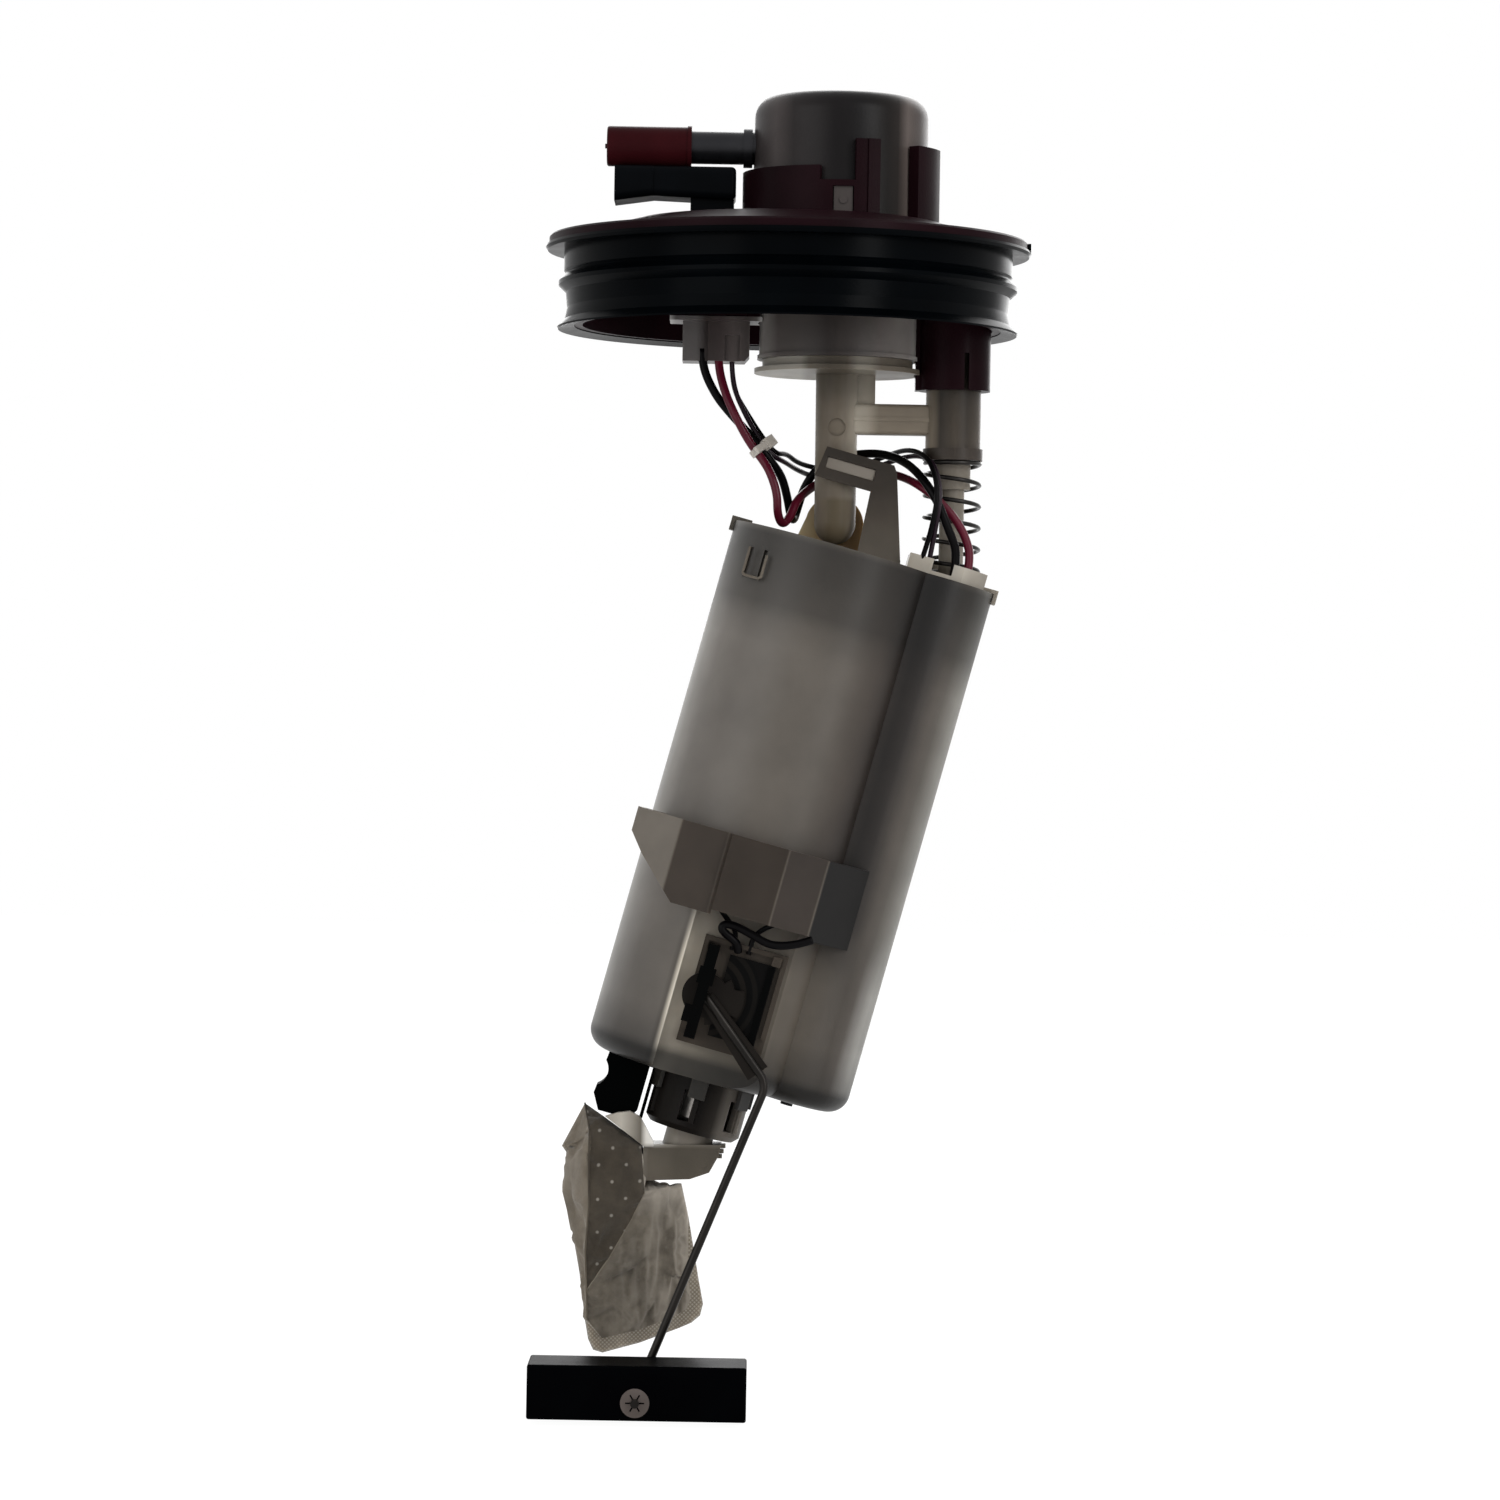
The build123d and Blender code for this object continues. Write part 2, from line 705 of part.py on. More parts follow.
# Harness socket and the connector beneath it
def rounded_bar(x_low, x_high, tall_low, tall_high, wide, radius):
    """A bar along X with rounded corners, whose height changes evenly from end to end."""
    left = Plane(origin=(x_low, 0, SOCKET_Z), z_dir=(1, 0, 0), x_dir=(0, 1, 0))
    right = Plane(origin=(x_high, 0, SOCKET_Z), z_dir=(1, 0, 0), x_dir=(0, 1, 0))
    shift_low = (SOCKET_MOUTH_TALL - tall_low) / 2
    shift_high = (SOCKET_MOUTH_TALL - tall_high) / 2
    start = left * Pos(0, shift_low) * RectangleRounded(wide, tall_low, radius)
    end = right * Pos(0, shift_high) * RectangleRounded(wide, tall_high, radius)
    return loft([start, end])


def harness_connector():
    mouth, seam, end = SOCKET_MOUTH_TALL, SOCKET_SEAM_TALL, SOCKET_BODY_TALL
    shroud = rounded_bar(SOCKET_MOUTH_X, SOCKET_SEAM_X, mouth, seam, SOCKET_WIDE, 2.2)
    body = rounded_bar(SOCKET_SEAM_X, SOCKET_END_X, seam, end, SOCKET_WIDE - 1.2, 2.0)
    end_edges = body.faces().sort_by(Axis.X)[-1].edges()
    body = fillet(end_edges, 1.4)
    foot_top = SOCKET_Z
    stem = block(
        (STEM_X - STEM_LONG / 2, STEM_X + STEM_LONG / 2),
        (-STEM_WIDE / 2, STEM_WIDE / 2),
        (PLATEAU_TOP + SEAT_PLATE_TALL + SEATED, foot_top),
    )
    shell = shroud + body + stem
    cavity_tall = SOCKET_SEAM_TALL - 2 * SOCKET_WALL
    cavity_z = SOCKET_Z + (SOCKET_MOUTH_TALL - SOCKET_SEAM_TALL) / 2
    shell -= block(
        (SOCKET_MOUTH_X - 1, SOCKET_MOUTH_X + SOCKET_DEEP),
        (-SOCKET_WIDE / 2 + SOCKET_WALL, SOCKET_WIDE / 2 - SOCKET_WALL),
        (cavity_z - cavity_tall / 2, cavity_z + cavity_tall / 2),
    )
    shell += block(
        (SOCKET_MOUTH_X + SOCKET_DEEP - 6, SOCKET_MOUTH_X + SOCKET_DEEP + 1),
        (-0.5, 0.5),
        (cavity_z + cavity_tall / 2 - 1.2, cavity_z + cavity_tall / 2 + 0.2),
    )
    for y in blade_rows():
        shell -= block(
            (SOCKET_MOUTH_X + SOCKET_DEEP - 1, SOCKET_MOUTH_X + SOCKET_DEEP + 8),
            (y - BLADE_WIDE / 2 - SEATED, y + BLADE_WIDE / 2 + SEATED),
            (cavity_z - BLADE_THICK / 2 - SEATED, cavity_z + BLADE_THICK / 2 + SEATED),
        )
    return shell


def blade_rows():
    """The places of the blades across the socket."""
    return [(i - (BLADES - 1) / 2) * BLADE_PITCH for i in range(BLADES)]


def harness_terminals():
    z = SOCKET_Z + (SOCKET_MOUTH_TALL - SOCKET_SEAM_TALL) / 2
    end = SOCKET_MOUTH_X + SOCKET_DEEP + 7
    wide, thick = BLADE_WIDE / 2, BLADE_THICK / 2
    blades = []
    for y in blade_rows():
        blade = block((end - BLADE_LONG, end), (y - wide, y + wide), (z - thick, z + thick))
        tip = blade.faces().sort_by(Axis.X)[0].edges().filter_by(Axis.Y)
        blades.append(chamfer(tip, 0.2))
    return blades


def inner_connector():
    left, right = INNER_X - INNER_LONG / 2, INNER_X + INNER_LONG / 2
    half = INNER_WIDE / 2
    outline = [
        (left, INNER_TOP),
        (right, INNER_TOP),
        (right, INNER_BOTTOM + 1.6),
        (right - 1.4, INNER_BOTTOM),
        (left, INNER_BOTTOM),
    ]
    body = front_plate(outline, -half, INNER_WIDE)
    step = block((left - 1, left + 7.4), (-half - 1, -half + 1.4), (INNER_BOTTOM - 1, INNER_TOP + 1))
    notch = block((left + 12.2, left + 16.6), (-half - 1, -half + 1.0), (INNER_BOTTOM - 1, INNER_TOP - 4))
    plate = block(
        (INNER_X - INNER_PLATE_LONG / 2, INNER_X + INNER_PLATE_LONG / 2),
        (-half - 1, half + 1),
        (INNER_TOP, INNER_TOP + INNER_PLATE_THICK),
    )
    plate -= rod(CUP_R + STAND_OFF, *upright(CAN_X, INNER_TOP - 1, INNER_TOP + 3))
    stem_low = INNER_TOP + INNER_PLATE_THICK - 0.2
    play = 1 + SEATED
    stem = block(
        (STEM_X - STEM_LONG / 2 + play, STEM_X + STEM_LONG / 2 - play),
        (-STEM_WIDE / 2 + play, STEM_WIDE / 2 - play),
        (stem_low, PLATEAU_TOP + SEAT_PLATE_TALL),
    )
    seat = block(
        (STEM_X - STEM_LONG / 2, STEM_X + STEM_LONG / 2),
        (-STEM_WIDE / 2, STEM_WIDE / 2),
        (PLATEAU_TOP + SEATED, PLATEAU_TOP + SEAT_PLATE_TALL),
    )
    connector = body - step - notch + plate + stem + seat
    for (x, y), radius in WIRE_EXITS:
        connector -= rod(radius + SEATED, *upright(x, INNER_BOTTOM - 1, INNER_BOTTOM + WIRE_GRIP, y))
    return connector


# Cup, manifold, guide post
def filter_cup():
    top = PLATEAU_TOP - PLATE_WALL - SEATED
    cup = tube(CUP_R, CUP_R - CUP_WALL, *upright(CAN_X, CUP_BOTTOM, top))
    cup += tube(CUP_R + 0.5, CUP_R - 0.5, *upright(CAN_X, CUP_BOTTOM, CUP_BOTTOM + 1.2))
    cup -= boss_room(-BOSS_DROP, top + 1)
    tower_half = INNER_WIDE / 2 + TOWER_WALL + STAND_OFF
    tower_right = INNER_X + INNER_LONG / 2 - 1
    return cup - block(
        (tower_right - INNER_LONG, tower_right + STAND_OFF),
        (-tower_half, tower_half),
        (-TOWER_DROP - STAND_OFF, top + 1),
    )


def feed_manifold():
    plate = rod(PLATE_R, *upright(CAN_X, PLATE_BOTTOM, PLATE_TOP))
    neck = rod(NECK_R, *upright(CAN_X, PLATE_TOP - 0.2, CUP_BOTTOM - SEATED))
    inside = CUP_R - CUP_WALL - SEATED
    plug_in = tube(inside, inside - 2, *upright(CAN_X, CUP_BOTTOM - 0.5, CUP_BOTTOM + 4))
    riser_top = PLATEAU_TOP - SPIGOT_DROP - 0.3
    riser = rod(FEED_SPIGOT_R, *upright(CAN_X, PLATE_TOP - 0.2, riser_top))
    pipe_top = PLATE_BOTTOM + 0.2
    pipe_outline = [(0, pipe_top), (STANDPIPE_TOP_R, pipe_top), (STANDPIPE_END_R, PIVOT[2]), (0, PIVOT[2])]
    pipe = turned(pipe_outline, CAN_X)
    ball = Pos(CAN_X, 0, PIVOT[2]) * Sphere(STANDPIPE_END_R)
    web_right = CAN_X + WEB_REACH
    web = block((CAN_X, web_right), (-WEB_THICK / 2, WEB_THICK / 2), (BEAM_TOP - 1, PLATE_BOTTOM + 0.2))
    beam = block((CAN_X, POST_X), (-BEAM_THICK / 2, BEAM_THICK / 2), (BEAM_BOTTOM, BEAM_TOP))
    beam_edges = beam.edges().filter_by(Axis.X)
    beam = fillet(beam_edges, 1.4)
    rib_z = (BEAM_TOP + BEAM_BOTTOM) / 2
    rib = block((CAN_X, POST_X), (-BEAM_THICK / 2 - 0.3, 0), (rib_z - 0.6, rib_z + 0.6))
    post = rod(POST_R, *upright(POST_X, POST_SHOULDER, -BOSS_DROP + POST_HOLD - SEATED))
    post += rod(POST_MID_R, *upright(POST_X, POST_MID_END, POST_SHOULDER + 1))
    tip = rod(POST_TIP_R, *upright(POST_X, POST_TIP_END, POST_MID_END + 1))
    tip = chamfer(tip.edges().filter_by(GeomType.CIRCLE).sort_by(Axis.Z)[0], 1.0)
    trunnion = rod(TRUNNION_R, (CAN_X, 0, PIVOT[2]), (CAN_X, SOCKET_CHEEK + TRUNNION_LONG, PIVOT[2]))
    manifold = plate + neck + plug_in + riser + pipe + ball + web + beam + rib + post + tip + trunnion
    room_top = CUP_BOTTOM + 6
    manifold -= boss_room(-BOSS_DROP, room_top) - rod(POST_R, *upright(POST_X, -BOSS_DROP, room_top))
    dimple_floor = (CAN_X, DIMPLE_DEEP - STANDPIPE_TOP_R, DIMPLE_Z)
    manifold -= rod(DIMPLE_R, (CAN_X, -2 * STANDPIPE_TOP_R, DIMPLE_Z), dimple_floor)
    manifold -= rod(STANDPIPE_BORE, *upright(CAN_X, PIVOT[2], -BOSS_DROP))
    manifold -= rod(FEED_SPIGOT_BORE, *upright(CAN_X, -BOSS_DROP - 1, riser_top + 1))
    manifold -= rod(TRUNNION_BORE, (CAN_X, 0, PIVOT[2]), (CAN_X, SOCKET_CHEEK + TRUNNION_LONG + 1, PIVOT[2]))
    manifold -= rod(POST_TIP_R - 1.2, *upright(POST_X, POST_TIP_END - 1, POST_TIP_END + 22))
    groove_y = SOCKET_CHEEK + TRUNNION_LONG - 2.6
    groove = (CAN_X, groove_y - 1, PIVOT[2]), (CAN_X, groove_y + 1, PIVOT[2])
    return manifold - tube(TRUNNION_R + 1, TRUNNION_R - ORING_R, *groove)


def swivel_oring():
    """Sealing ring in the groove of the trunnion."""
    centre = SOCKET_CHEEK + TRUNNION_LONG - 2.6
    mean = TRUNNION_R + RUNNING - ORING_R / 2
    return Pos(CAN_X, centre, PIVOT[2]) * Rot(90, 0, 0) * Torus(mean - 0.02, ORING_R / 2)


def spring_ring():
    low, high = POST_SHOULDER - RING_THICK, POST_SHOULDER - SEATED
    return tube(RING_R, POST_MID_R + SEATED, *upright(POST_X, low, high))


def spring_ends():
    """The heights of the middle of the wire in the spring's first and last coils."""
    top = POST_SHOULDER - RING_THICK - SPRING_WIRE_R - SEATED
    seat = hung_point(SEAT_X, 0, SHELL_TOP + SEATED)
    drop = (SPRING_R + SPRING_WIRE_R) * tan(radians(TILT))
    return seat[2] + drop + 0.3, top


def return_spring():
    low, high = spring_ends()
    coil = SPRING_R - SPRING_WIRE_R
    pitch = (high - low) / SPRING_TURNS
    path = Helix(pitch=pitch, height=high - low, radius=coil, center=(POST_X, 0, low))
    return sweep(Plane(path @ 0, z_dir=path % 0) * Circle(SPRING_WIRE_R), path=path)


# Wires from the top plate to the lid
def wire_start(x, y):
    """A wire leaves its hole in the inner connector straight down."""
    return [(x, y, INNER_BOTTOM + WIRE_GRIP), (x, y, INNER_BOTTOM - 1.4)]


def wire_end(entry):
    """A wire goes into the lid square to it, down to the lid's underside."""
    x, y = entry
    above, under = SHELL_TOP + SEAT_RISE + WIRE_RISE, SHELL_TOP - LID_THICK + SEATED
    return [hung_point(x, y, above), hung_point(x, y, under)]


def pump_lead_black():
    points = wire_start(*BLACK_EXIT)
    points += [(-20.8, -4.4, -41.0), (-16.4, -4.0, -46.4)]
    points += tie_points(BLACK_IN_TIE)
    points += [
        (-0.9, -1.4, -64.2),
        (0.9, 1.4, -70.4),
        (1.9, 5.0, -75.6),
        (2.9, 9.6, -77.0),
        (4.0, 12.6, -73.0),
        (5.8, 12.0, -66.9),
        (9.4, 10.0, -61.4),
        (14.0, 10.6, -58.6),
        (21.4, 9.2, -56.9),
        (29.2, 4.2, -57.0),
        (35.7, -4.2, -60.2),
        (40.2, -12.4, -65.4),
        (44.0, -14.6, -71.4),
        (47.2, -14.8, -79.2),
    ]
    return wire("pump_lead_black", points + wire_end(BLACK_ENTRY), THICK_WIRE_R)


def pump_lead_red():
    points = wire_start(*RED_EXIT)
    points += [(-17.7, -7.0, -41.0), (-14.8, -8.8, -47.4)]
    points += tie_points(RED_IN_TIE)
    points += [
        (-4.0, -10.2, -64.4),
        (-2.1, -11.2, -70.2),
        (-2.0, -9.8, -75.8),
        (-0.5, -6.2, -79.0),
        (1.9, -2.9, -76.2),
        (3.4, -0.6, -71.6),
        (6.8, 5.4, -68.0),
        (11.4, 9.8, -64.9),
        (17.4, 10.4, -62.9),
        (25.0, 8.2, -62.1),
        (33.0, 1.2, -63.2),
        (40.0, -8.9, -67.2),
        (47.8, -10.9, -74.2),
        (52.4, -10.8, -81.0),
    ]
    return wire("pump_lead_red", points + wire_end(RED_ENTRY), THICK_WIRE_R)


def sender_lead_purple():
    points = wire_start(*PURPLE_EXIT)
    points += [(-14.9, -2.8, -40.2), (-11.9, -3.4, -46.6)]
    points += tie_points(PURPLE_IN_TIE)
    points += [
        (0.0, 0.6, -60.2),
        (3.2, 8.4, -61.8),
        (7.4, 15.8, -63.2),
        (14.4, 17.0, -64.4),
        (21.4, 14.8, -63.2),
        (29.0, 10.0, -59.8),
        (36.3, -0.8, -57.0),
        (41.5, -8.8, -58.3),
        (43.7, -13.9, -62.6),
        (44.9, -16.6, -69.0),
        (44.2, -16.9, -76.0),
    ]
    return wire("sender_lead_purple", points + wire_end(PURPLE_ENTRY), THIN_WIRE_R)


def sender_lead_black():
    points = wire_start(*SENDER_EXIT)
    points += [(-15.0, 0.2, -40.2), (-11.6, -0.8, -45.8)]
    points += tie_points(SENDER_IN_TIE)
    points += [
        (0.4, 3.9, -57.5),
        (3.4, 10.6, -59.6),
        (7.4, 15.8, -60.6),
        (14.4, 18.0, -61.8),
        (21.8, 16.4, -60.6),
        (29.8, 11.8, -57.2),
        (34.4, -0.6, -54.6),
        (39.4, -9.0, -57.2),
        (41.6, -14.4, -62.6),
        (42.7, -16.6, -69.2),
        (42.0, -16.6, -75.6),
    ]
    return wire("sender_lead_black", points + wire_end(SENDER_ENTRY), THIN_WIRE_R)


def tie_plane():
    """The plane of the band, square to the wires where they run side by side."""
    return Plane(origin=TIE_AT, x_dir=(0.507, 0.761, 0.406), z_dir=(0.6214, -0.0501, -0.7818))


def tie_points(across):
    """The straight run of one wire through the tie, at its own place in the row."""
    plane = tie_plane()
    before = plane.from_local_coords((across, 0, -TIE_RUN))
    after = plane.from_local_coords((across, 0, TIE_RUN))
    return [tuple(Vector(before)), tuple(Vector(after))]


def cable_tie():
    """Band round the four wires, with its lock in front and its cut-off tail."""
    middle = (RED_IN_TIE - THICK_WIRE_R + SENDER_IN_TIE + THIN_WIRE_R) / 2
    span = SENDER_IN_TIE + THIN_WIRE_R - RED_IN_TIE + THICK_WIRE_R - 2 * THICK_WIRE_R
    bore = THICK_WIRE_R + TIE_PLAY
    band = SlotCenterToCenter(span, 2 * (bore + TIE_THICK)) - SlotCenterToCenter(span, 2 * bore)
    tie = Pos(middle, 0, 0) * extrude(band, amount=TIE_WIDE / 2, both=True)
    front = bore + TIE_THICK
    lock = block((-1.8, 1.8), (front - 0.3, front + 2.2), (-TIE_WIDE / 2 - 0.6, TIE_WIDE / 2 + 0.6))
    tail = block((-TIE_TAIL, 0), (front + 0.5, front + 1.5), (-TIE_WIDE / 2, TIE_WIDE / 2))
    return tie_plane() * (tie + lock + tail)


# Reservoir
def shell_outline(inset):
    """Plan of the reservoir: a round body with a side lobe."""
    return Pos(MAIN_X, 0) * Circle(MAIN_R - inset) + Pos(LOBE_X, 0) * Circle(LOBE_R - inset)


def pocket_space(inset):
    """The space cut away in front of the flat pocket."""
    reach = 2 * MAIN_R
    tall = (SHELL_BOTTOM - 1, POCKET_TOP + inset)
    return block((POCKET_LEFT - inset, reach), (-reach, POCKET_Y + inset), tall)


def reservoir():
    outer = Pos(0, 0, SHELL_BOTTOM) * extrude(shell_outline(0), amount=SHELL_TOP - SHELL_BOTTOM)
    outer = fillet(outer.faces().sort_by(Axis.Z)[0].edges(), SHELL_FILLET)
    outer -= pocket_space(0)
    floor = SHELL_BOTTOM + SHELL_WALL
    inner = Pos(0, 0, floor) * extrude(shell_outline(SHELL_WALL), amount=SHELL_TOP - floor + 1)
    inner = fillet(inner.faces().sort_by(Axis.Z)[0].edges(), SHELL_FILLET - SHELL_WALL)
    inner -= pocket_space(SHELL_WALL)
    shell = outer - inner
    shell -= rod(PUMP_NOSE_R + STAND_OFF, *upright(PUMP_X, SHELL_BOTTOM - 1, floor + 1))
    shell -= rod(FOOT_STEM_R + SEATED, *upright(FOOT_X, SHELL_BOTTOM - 1, floor + 1))
    shell -= rod(VALVE_STEM_R + SEATED, *upright(VALVE_X, SHELL_BOTTOM - 1, floor + 1))
    for i in range(VALVE_HOLES):
        x, y = polar(VALVE_R * 0.6, i * 360 / VALVE_HOLES)
        shell -= rod(VALVE_HOLE_R, *upright(VALVE_X + x, SHELL_BOTTOM - 1, floor + 1, y))
    for x, z in SENDER_WIRE_HOLES:
        shell -= rod(LEAD_HOLE_R, (x, -2 * MAIN_R, z), (x, -MAIN_R / 2, z))
    for tab in clip_tabs():
        shell += tab
    return hung(shell - latch_slot())


def latch_slot():
    """The shallow U-shaped groove round a small latch near the top of the wall."""
    half = LATCH_WIDE / 2
    depth = (-2 * MAIN_R, 0)
    low, high = LATCH_Z - LATCH_LONG / 2, LATCH_Z + LATCH_LONG / 2
    cut = block((LATCH_X - half, LATCH_X + half), depth, (low, high))
    inner = half - LATCH_SLOT
    keep = block((LATCH_X - inner, LATCH_X + inner), depth, (low + LATCH_SLOT, high + 1))
    core = Pos(0, 0, SHELL_BOTTOM) * extrude(shell_outline(LATCH_DEEP), amount=SHELL_TOP - SHELL_BOTTOM)
    return cut - keep - core


def clip_tabs():
    """Hooks under the floor that hold the pump's end cap."""
    reach = END_CAP_R + STAND_OFF / 2
    tabs = []
    for i in range(CLIP_TABS):
        stalk = block((reach, reach + CLIP_THICK), (-CLIP_WIDE / 2, CLIP_WIDE / 2), (-CLIP_LONG, 1.0))
        turn = Rot(0, 0, CLIP_BEARING + i * 360 / CLIP_TABS)
        tabs.append(Pos(PUMP_X, 0, SHELL_BOTTOM) * turn * stalk)
    return tabs


# Lid of the reservoir
def lid_outline(inset):
    return shell_outline(SHELL_WALL + SEATED + inset)


def reservoir_lid():
    plate = Pos(0, 0, SHELL_TOP - LID_THICK) * extrude(lid_outline(0), amount=LID_THICK)
    skirt = extrude(lid_outline(0) - lid_outline(LID_SKIRT_WALL), amount=LID_SKIRT)
    lid = plate + Pos(0, 0, SHELL_TOP - LID_SKIRT) * skirt + spring_seat()
    half = POST_TIP_R + POST_PLAY
    slot = SlotCenterToCenter(POST_SWING, 2 * half)
    lid -= Pos(SEAT_X + POST_SHIFT, 0, SHELL_TOP - LID_THICK - 1) * extrude(slot, amount=LID_THICK + 2)
    for entry, radius in WIRE_ENTRIES:
        low, high = SHELL_TOP - LID_SKIRT - 1, SHELL_TOP + SEAT_RISE + 1
        lid -= rod(radius + WIRE_PLAY, *upright(entry[0], low, high, entry[1]))
    lid -= rod(HOSE_R + STAND_OFF, *upright(0, SHELL_TOP - LID_THICK - 1, SHELL_TOP + 1, swivel_middle()))
    lid -= rod(VENT_R, *upright(VENT_X, SHELL_TOP - LID_THICK - 1, SHELL_TOP + 1, VENT_Y))
    return hung(lid + lid_hook(-1) + lid_hook(1))


def spring_seat():
    """Raised block with a round pocket for the foot of the spring."""
    pocket_r = SPRING_R + SEAT_GAP
    reach = pocket_r + SEAT_WALL
    top = SHELL_TOP + SEAT_RISE
    seat = block((SEAT_X - reach, SEAT_X + reach), (-reach - 2, reach), (SHELL_TOP - 0.2, top))
    seat -= rod(pocket_r, *upright(SEAT_X, SHELL_TOP, top + 1))
    seat -= block((SEAT_X - 4.6, SEAT_X + 1.4), (-2 * reach, -pocket_r / 2), (SHELL_TOP + 1.2, top + 1))
    return seat & Pos(0, 0, SHELL_TOP - 1) * extrude(lid_outline(0), amount=SEAT_RISE + 2)


def lid_hook(side):
    """A small hook over the top edge of the shell at either end of the lid."""
    end = MAIN_X - MAIN_R if side < 0 else LOBE_X + LOBE_R
    inner = end - side * (SHELL_WALL + 3)
    outer = end + side * HOOK_THICK
    half = HOOK_WIDE / 2
    high = SHELL_TOP + HOOK_THICK
    top = block(sorted((inner, outer)), (-half, half), (SHELL_TOP + SEATED, high))
    root = block(sorted((inner, end - side * (SHELL_WALL + 0.8))), (-half, half), (SHELL_TOP - 0.5, high))
    nose = block(sorted((end + side * SEATED, outer)), (-half, half), (SHELL_TOP - HOOK_DROP, high))
    return top + root + nose


# Swivel
def swivel_middle():
    """The middle of the swivel's socket behind the standpipe."""
    return SOCKET_CHEEK + SWIVEL_DEEP / 2


def swivel_socket():
    """Blind socket for the trunnion, on a pillar that stands on the lid."""
    front, back = SOCKET_CHEEK, SOCKET_CHEEK + SWIVEL_DEEP
    drum = rod(SWIVEL_R, (0, front, 0), (0, back, 0))
    foot = SWIVEL_R + SWIVEL_FLARE
    low = SHELL_TOP + SEATED
    pillar = front_plate([(-SWIVEL_R, 0), (SWIVEL_R, 0), (foot, low), (-foot, low)], front, SWIVEL_DEEP)
    spigot = rod(PORT_R, (0, swivel_middle(), 0), (0, swivel_middle(), SHELL_TOP - PORT_LONG))
    below = block((-foot - 1, foot + 1), (front - 1, back + 1), (-2 * SWIVEL_R, low))
    socket = drum + pillar - below + spigot
    socket -= rod(TRUNNION_R + RUNNING, (0, front - 1, 0), (0, front + TRUNNION_LONG + STAND_OFF, 0))
    socket -= rod(PORT_R - 1.0, (0, swivel_middle(), 0), (0, swivel_middle(), SHELL_TOP - PORT_LONG - 1))
    return hung(socket)


def swivel_bracket():
    """Slotted guard in front of the standpipe, with its leg and side flange."""
    outline = [
        (BRACKET_LEFT, BRACKET_TOP),
        (BRACKET_RIGHT, BRACKET_TOP),
        (BRACKET_RIGHT + 1.4, BRACKET_TOP - 2),
        (BRACKET_FOOT_RIGHT, SHELL_TOP + SEATED),
        (BRACKET_FOOT_LEFT, SHELL_TOP + SEATED),
        (BRACKET_RIGHT - 4.6, BRACKET_BAR_BOTTOM),
        (BRACKET_LEFT - 1.2, BRACKET_BAR_BOTTOM),
    ]
    plate = front_plate(outline, BRACKET_Y, BRACKET_THICK)
    middle = (BRACKET_LEFT + BRACKET_RIGHT) / 2 - 1.8
    plate -= block(
        (middle - SLOT_LONG / 2, middle + SLOT_LONG / 2),
        (BRACKET_Y - 1, BRACKET_Y + BRACKET_THICK - SLOT_WEB),
        (SLOT_Z - SLOT_TALL / 2, SLOT_Z + SLOT_TALL / 2),
    )
    flange_outline = [
        (BRACKET_RIGHT + 1.4, BRACKET_TOP - 2),
        (BRACKET_FOOT_RIGHT, SHELL_TOP + SEATED),
        (BRACKET_FOOT_RIGHT - 1.4, SHELL_TOP + SEATED),
        (BRACKET_RIGHT, BRACKET_TOP - 2),
    ]
    side = front_plate(flange_outline, BRACKET_Y + 0.2, BRACKET_FLANGE)
    foot = block(
        (BRACKET_FOOT_LEFT, BRACKET_FOOT_RIGHT - 0.4),
        (BRACKET_Y + 0.2, BRACKET_Y + BRACKET_FLANGE),
        (SHELL_TOP + SEATED, SHELL_TOP + 1.6),
    )
    return hung(plate + side + foot)


# Pump and what belongs to it
def pump_motor():
    floor = SHELL_BOTTOM + SHELL_WALL
    nose_end = END_CAP_BOTTOM + END_CAP_WALL + 1.0
    body = turned(
        [
            (0, nose_end),
            (PUMP_NOSE_R - 1, nose_end),
            (PUMP_NOSE_R, nose_end + 1),
            (PUMP_NOSE_R, floor + SEATED),
            (PUMP_R - 0.8, floor + SEATED),
            (PUMP_R, floor + 0.8),
            (PUMP_R, PUMP_TOP - 3),
            (PUMP_R - 1.6, PUMP_TOP - 1),
            (PUMP_R - 1.6, PUMP_TOP),
            (0, PUMP_TOP),
        ],
        PUMP_X,
    )
    port = rod(PORT_R, *upright(PUMP_X, PUMP_TOP - 1, PUMP_TOP + PORT_LONG))
    port += rod(PORT_R + 0.4, *upright(PUMP_X, PUMP_TOP + PORT_LONG - 3, PUMP_TOP + PORT_LONG - 1.6))
    pump = body + port - rod(PORT_R - 1.0, *upright(PUMP_X, PUMP_TOP - 20, PUMP_TOP + PORT_LONG + 1))
    return hung(pump - rod(INLET_R, *upright(PUMP_X, nose_end - 1, nose_end + 14)))


def pump_isolator():
    low = (SHELL_BOTTOM + PUMP_TOP - SLEEVE_LONG) / 2
    sleeve = tube(PUMP_R + SLEEVE_WALL, PUMP_R + SEATED, *upright(PUMP_X, low, low + SLEEVE_LONG))
    for i in range(SLEEVE_RIBS):
        at = polar(PUMP_R + SLEEVE_WALL, i * 360 / SLEEVE_RIBS)
        sleeve += rod(1.2, *upright(PUMP_X + at[0], low, low + SLEEVE_LONG, at[1]))
    return hung(sleeve)


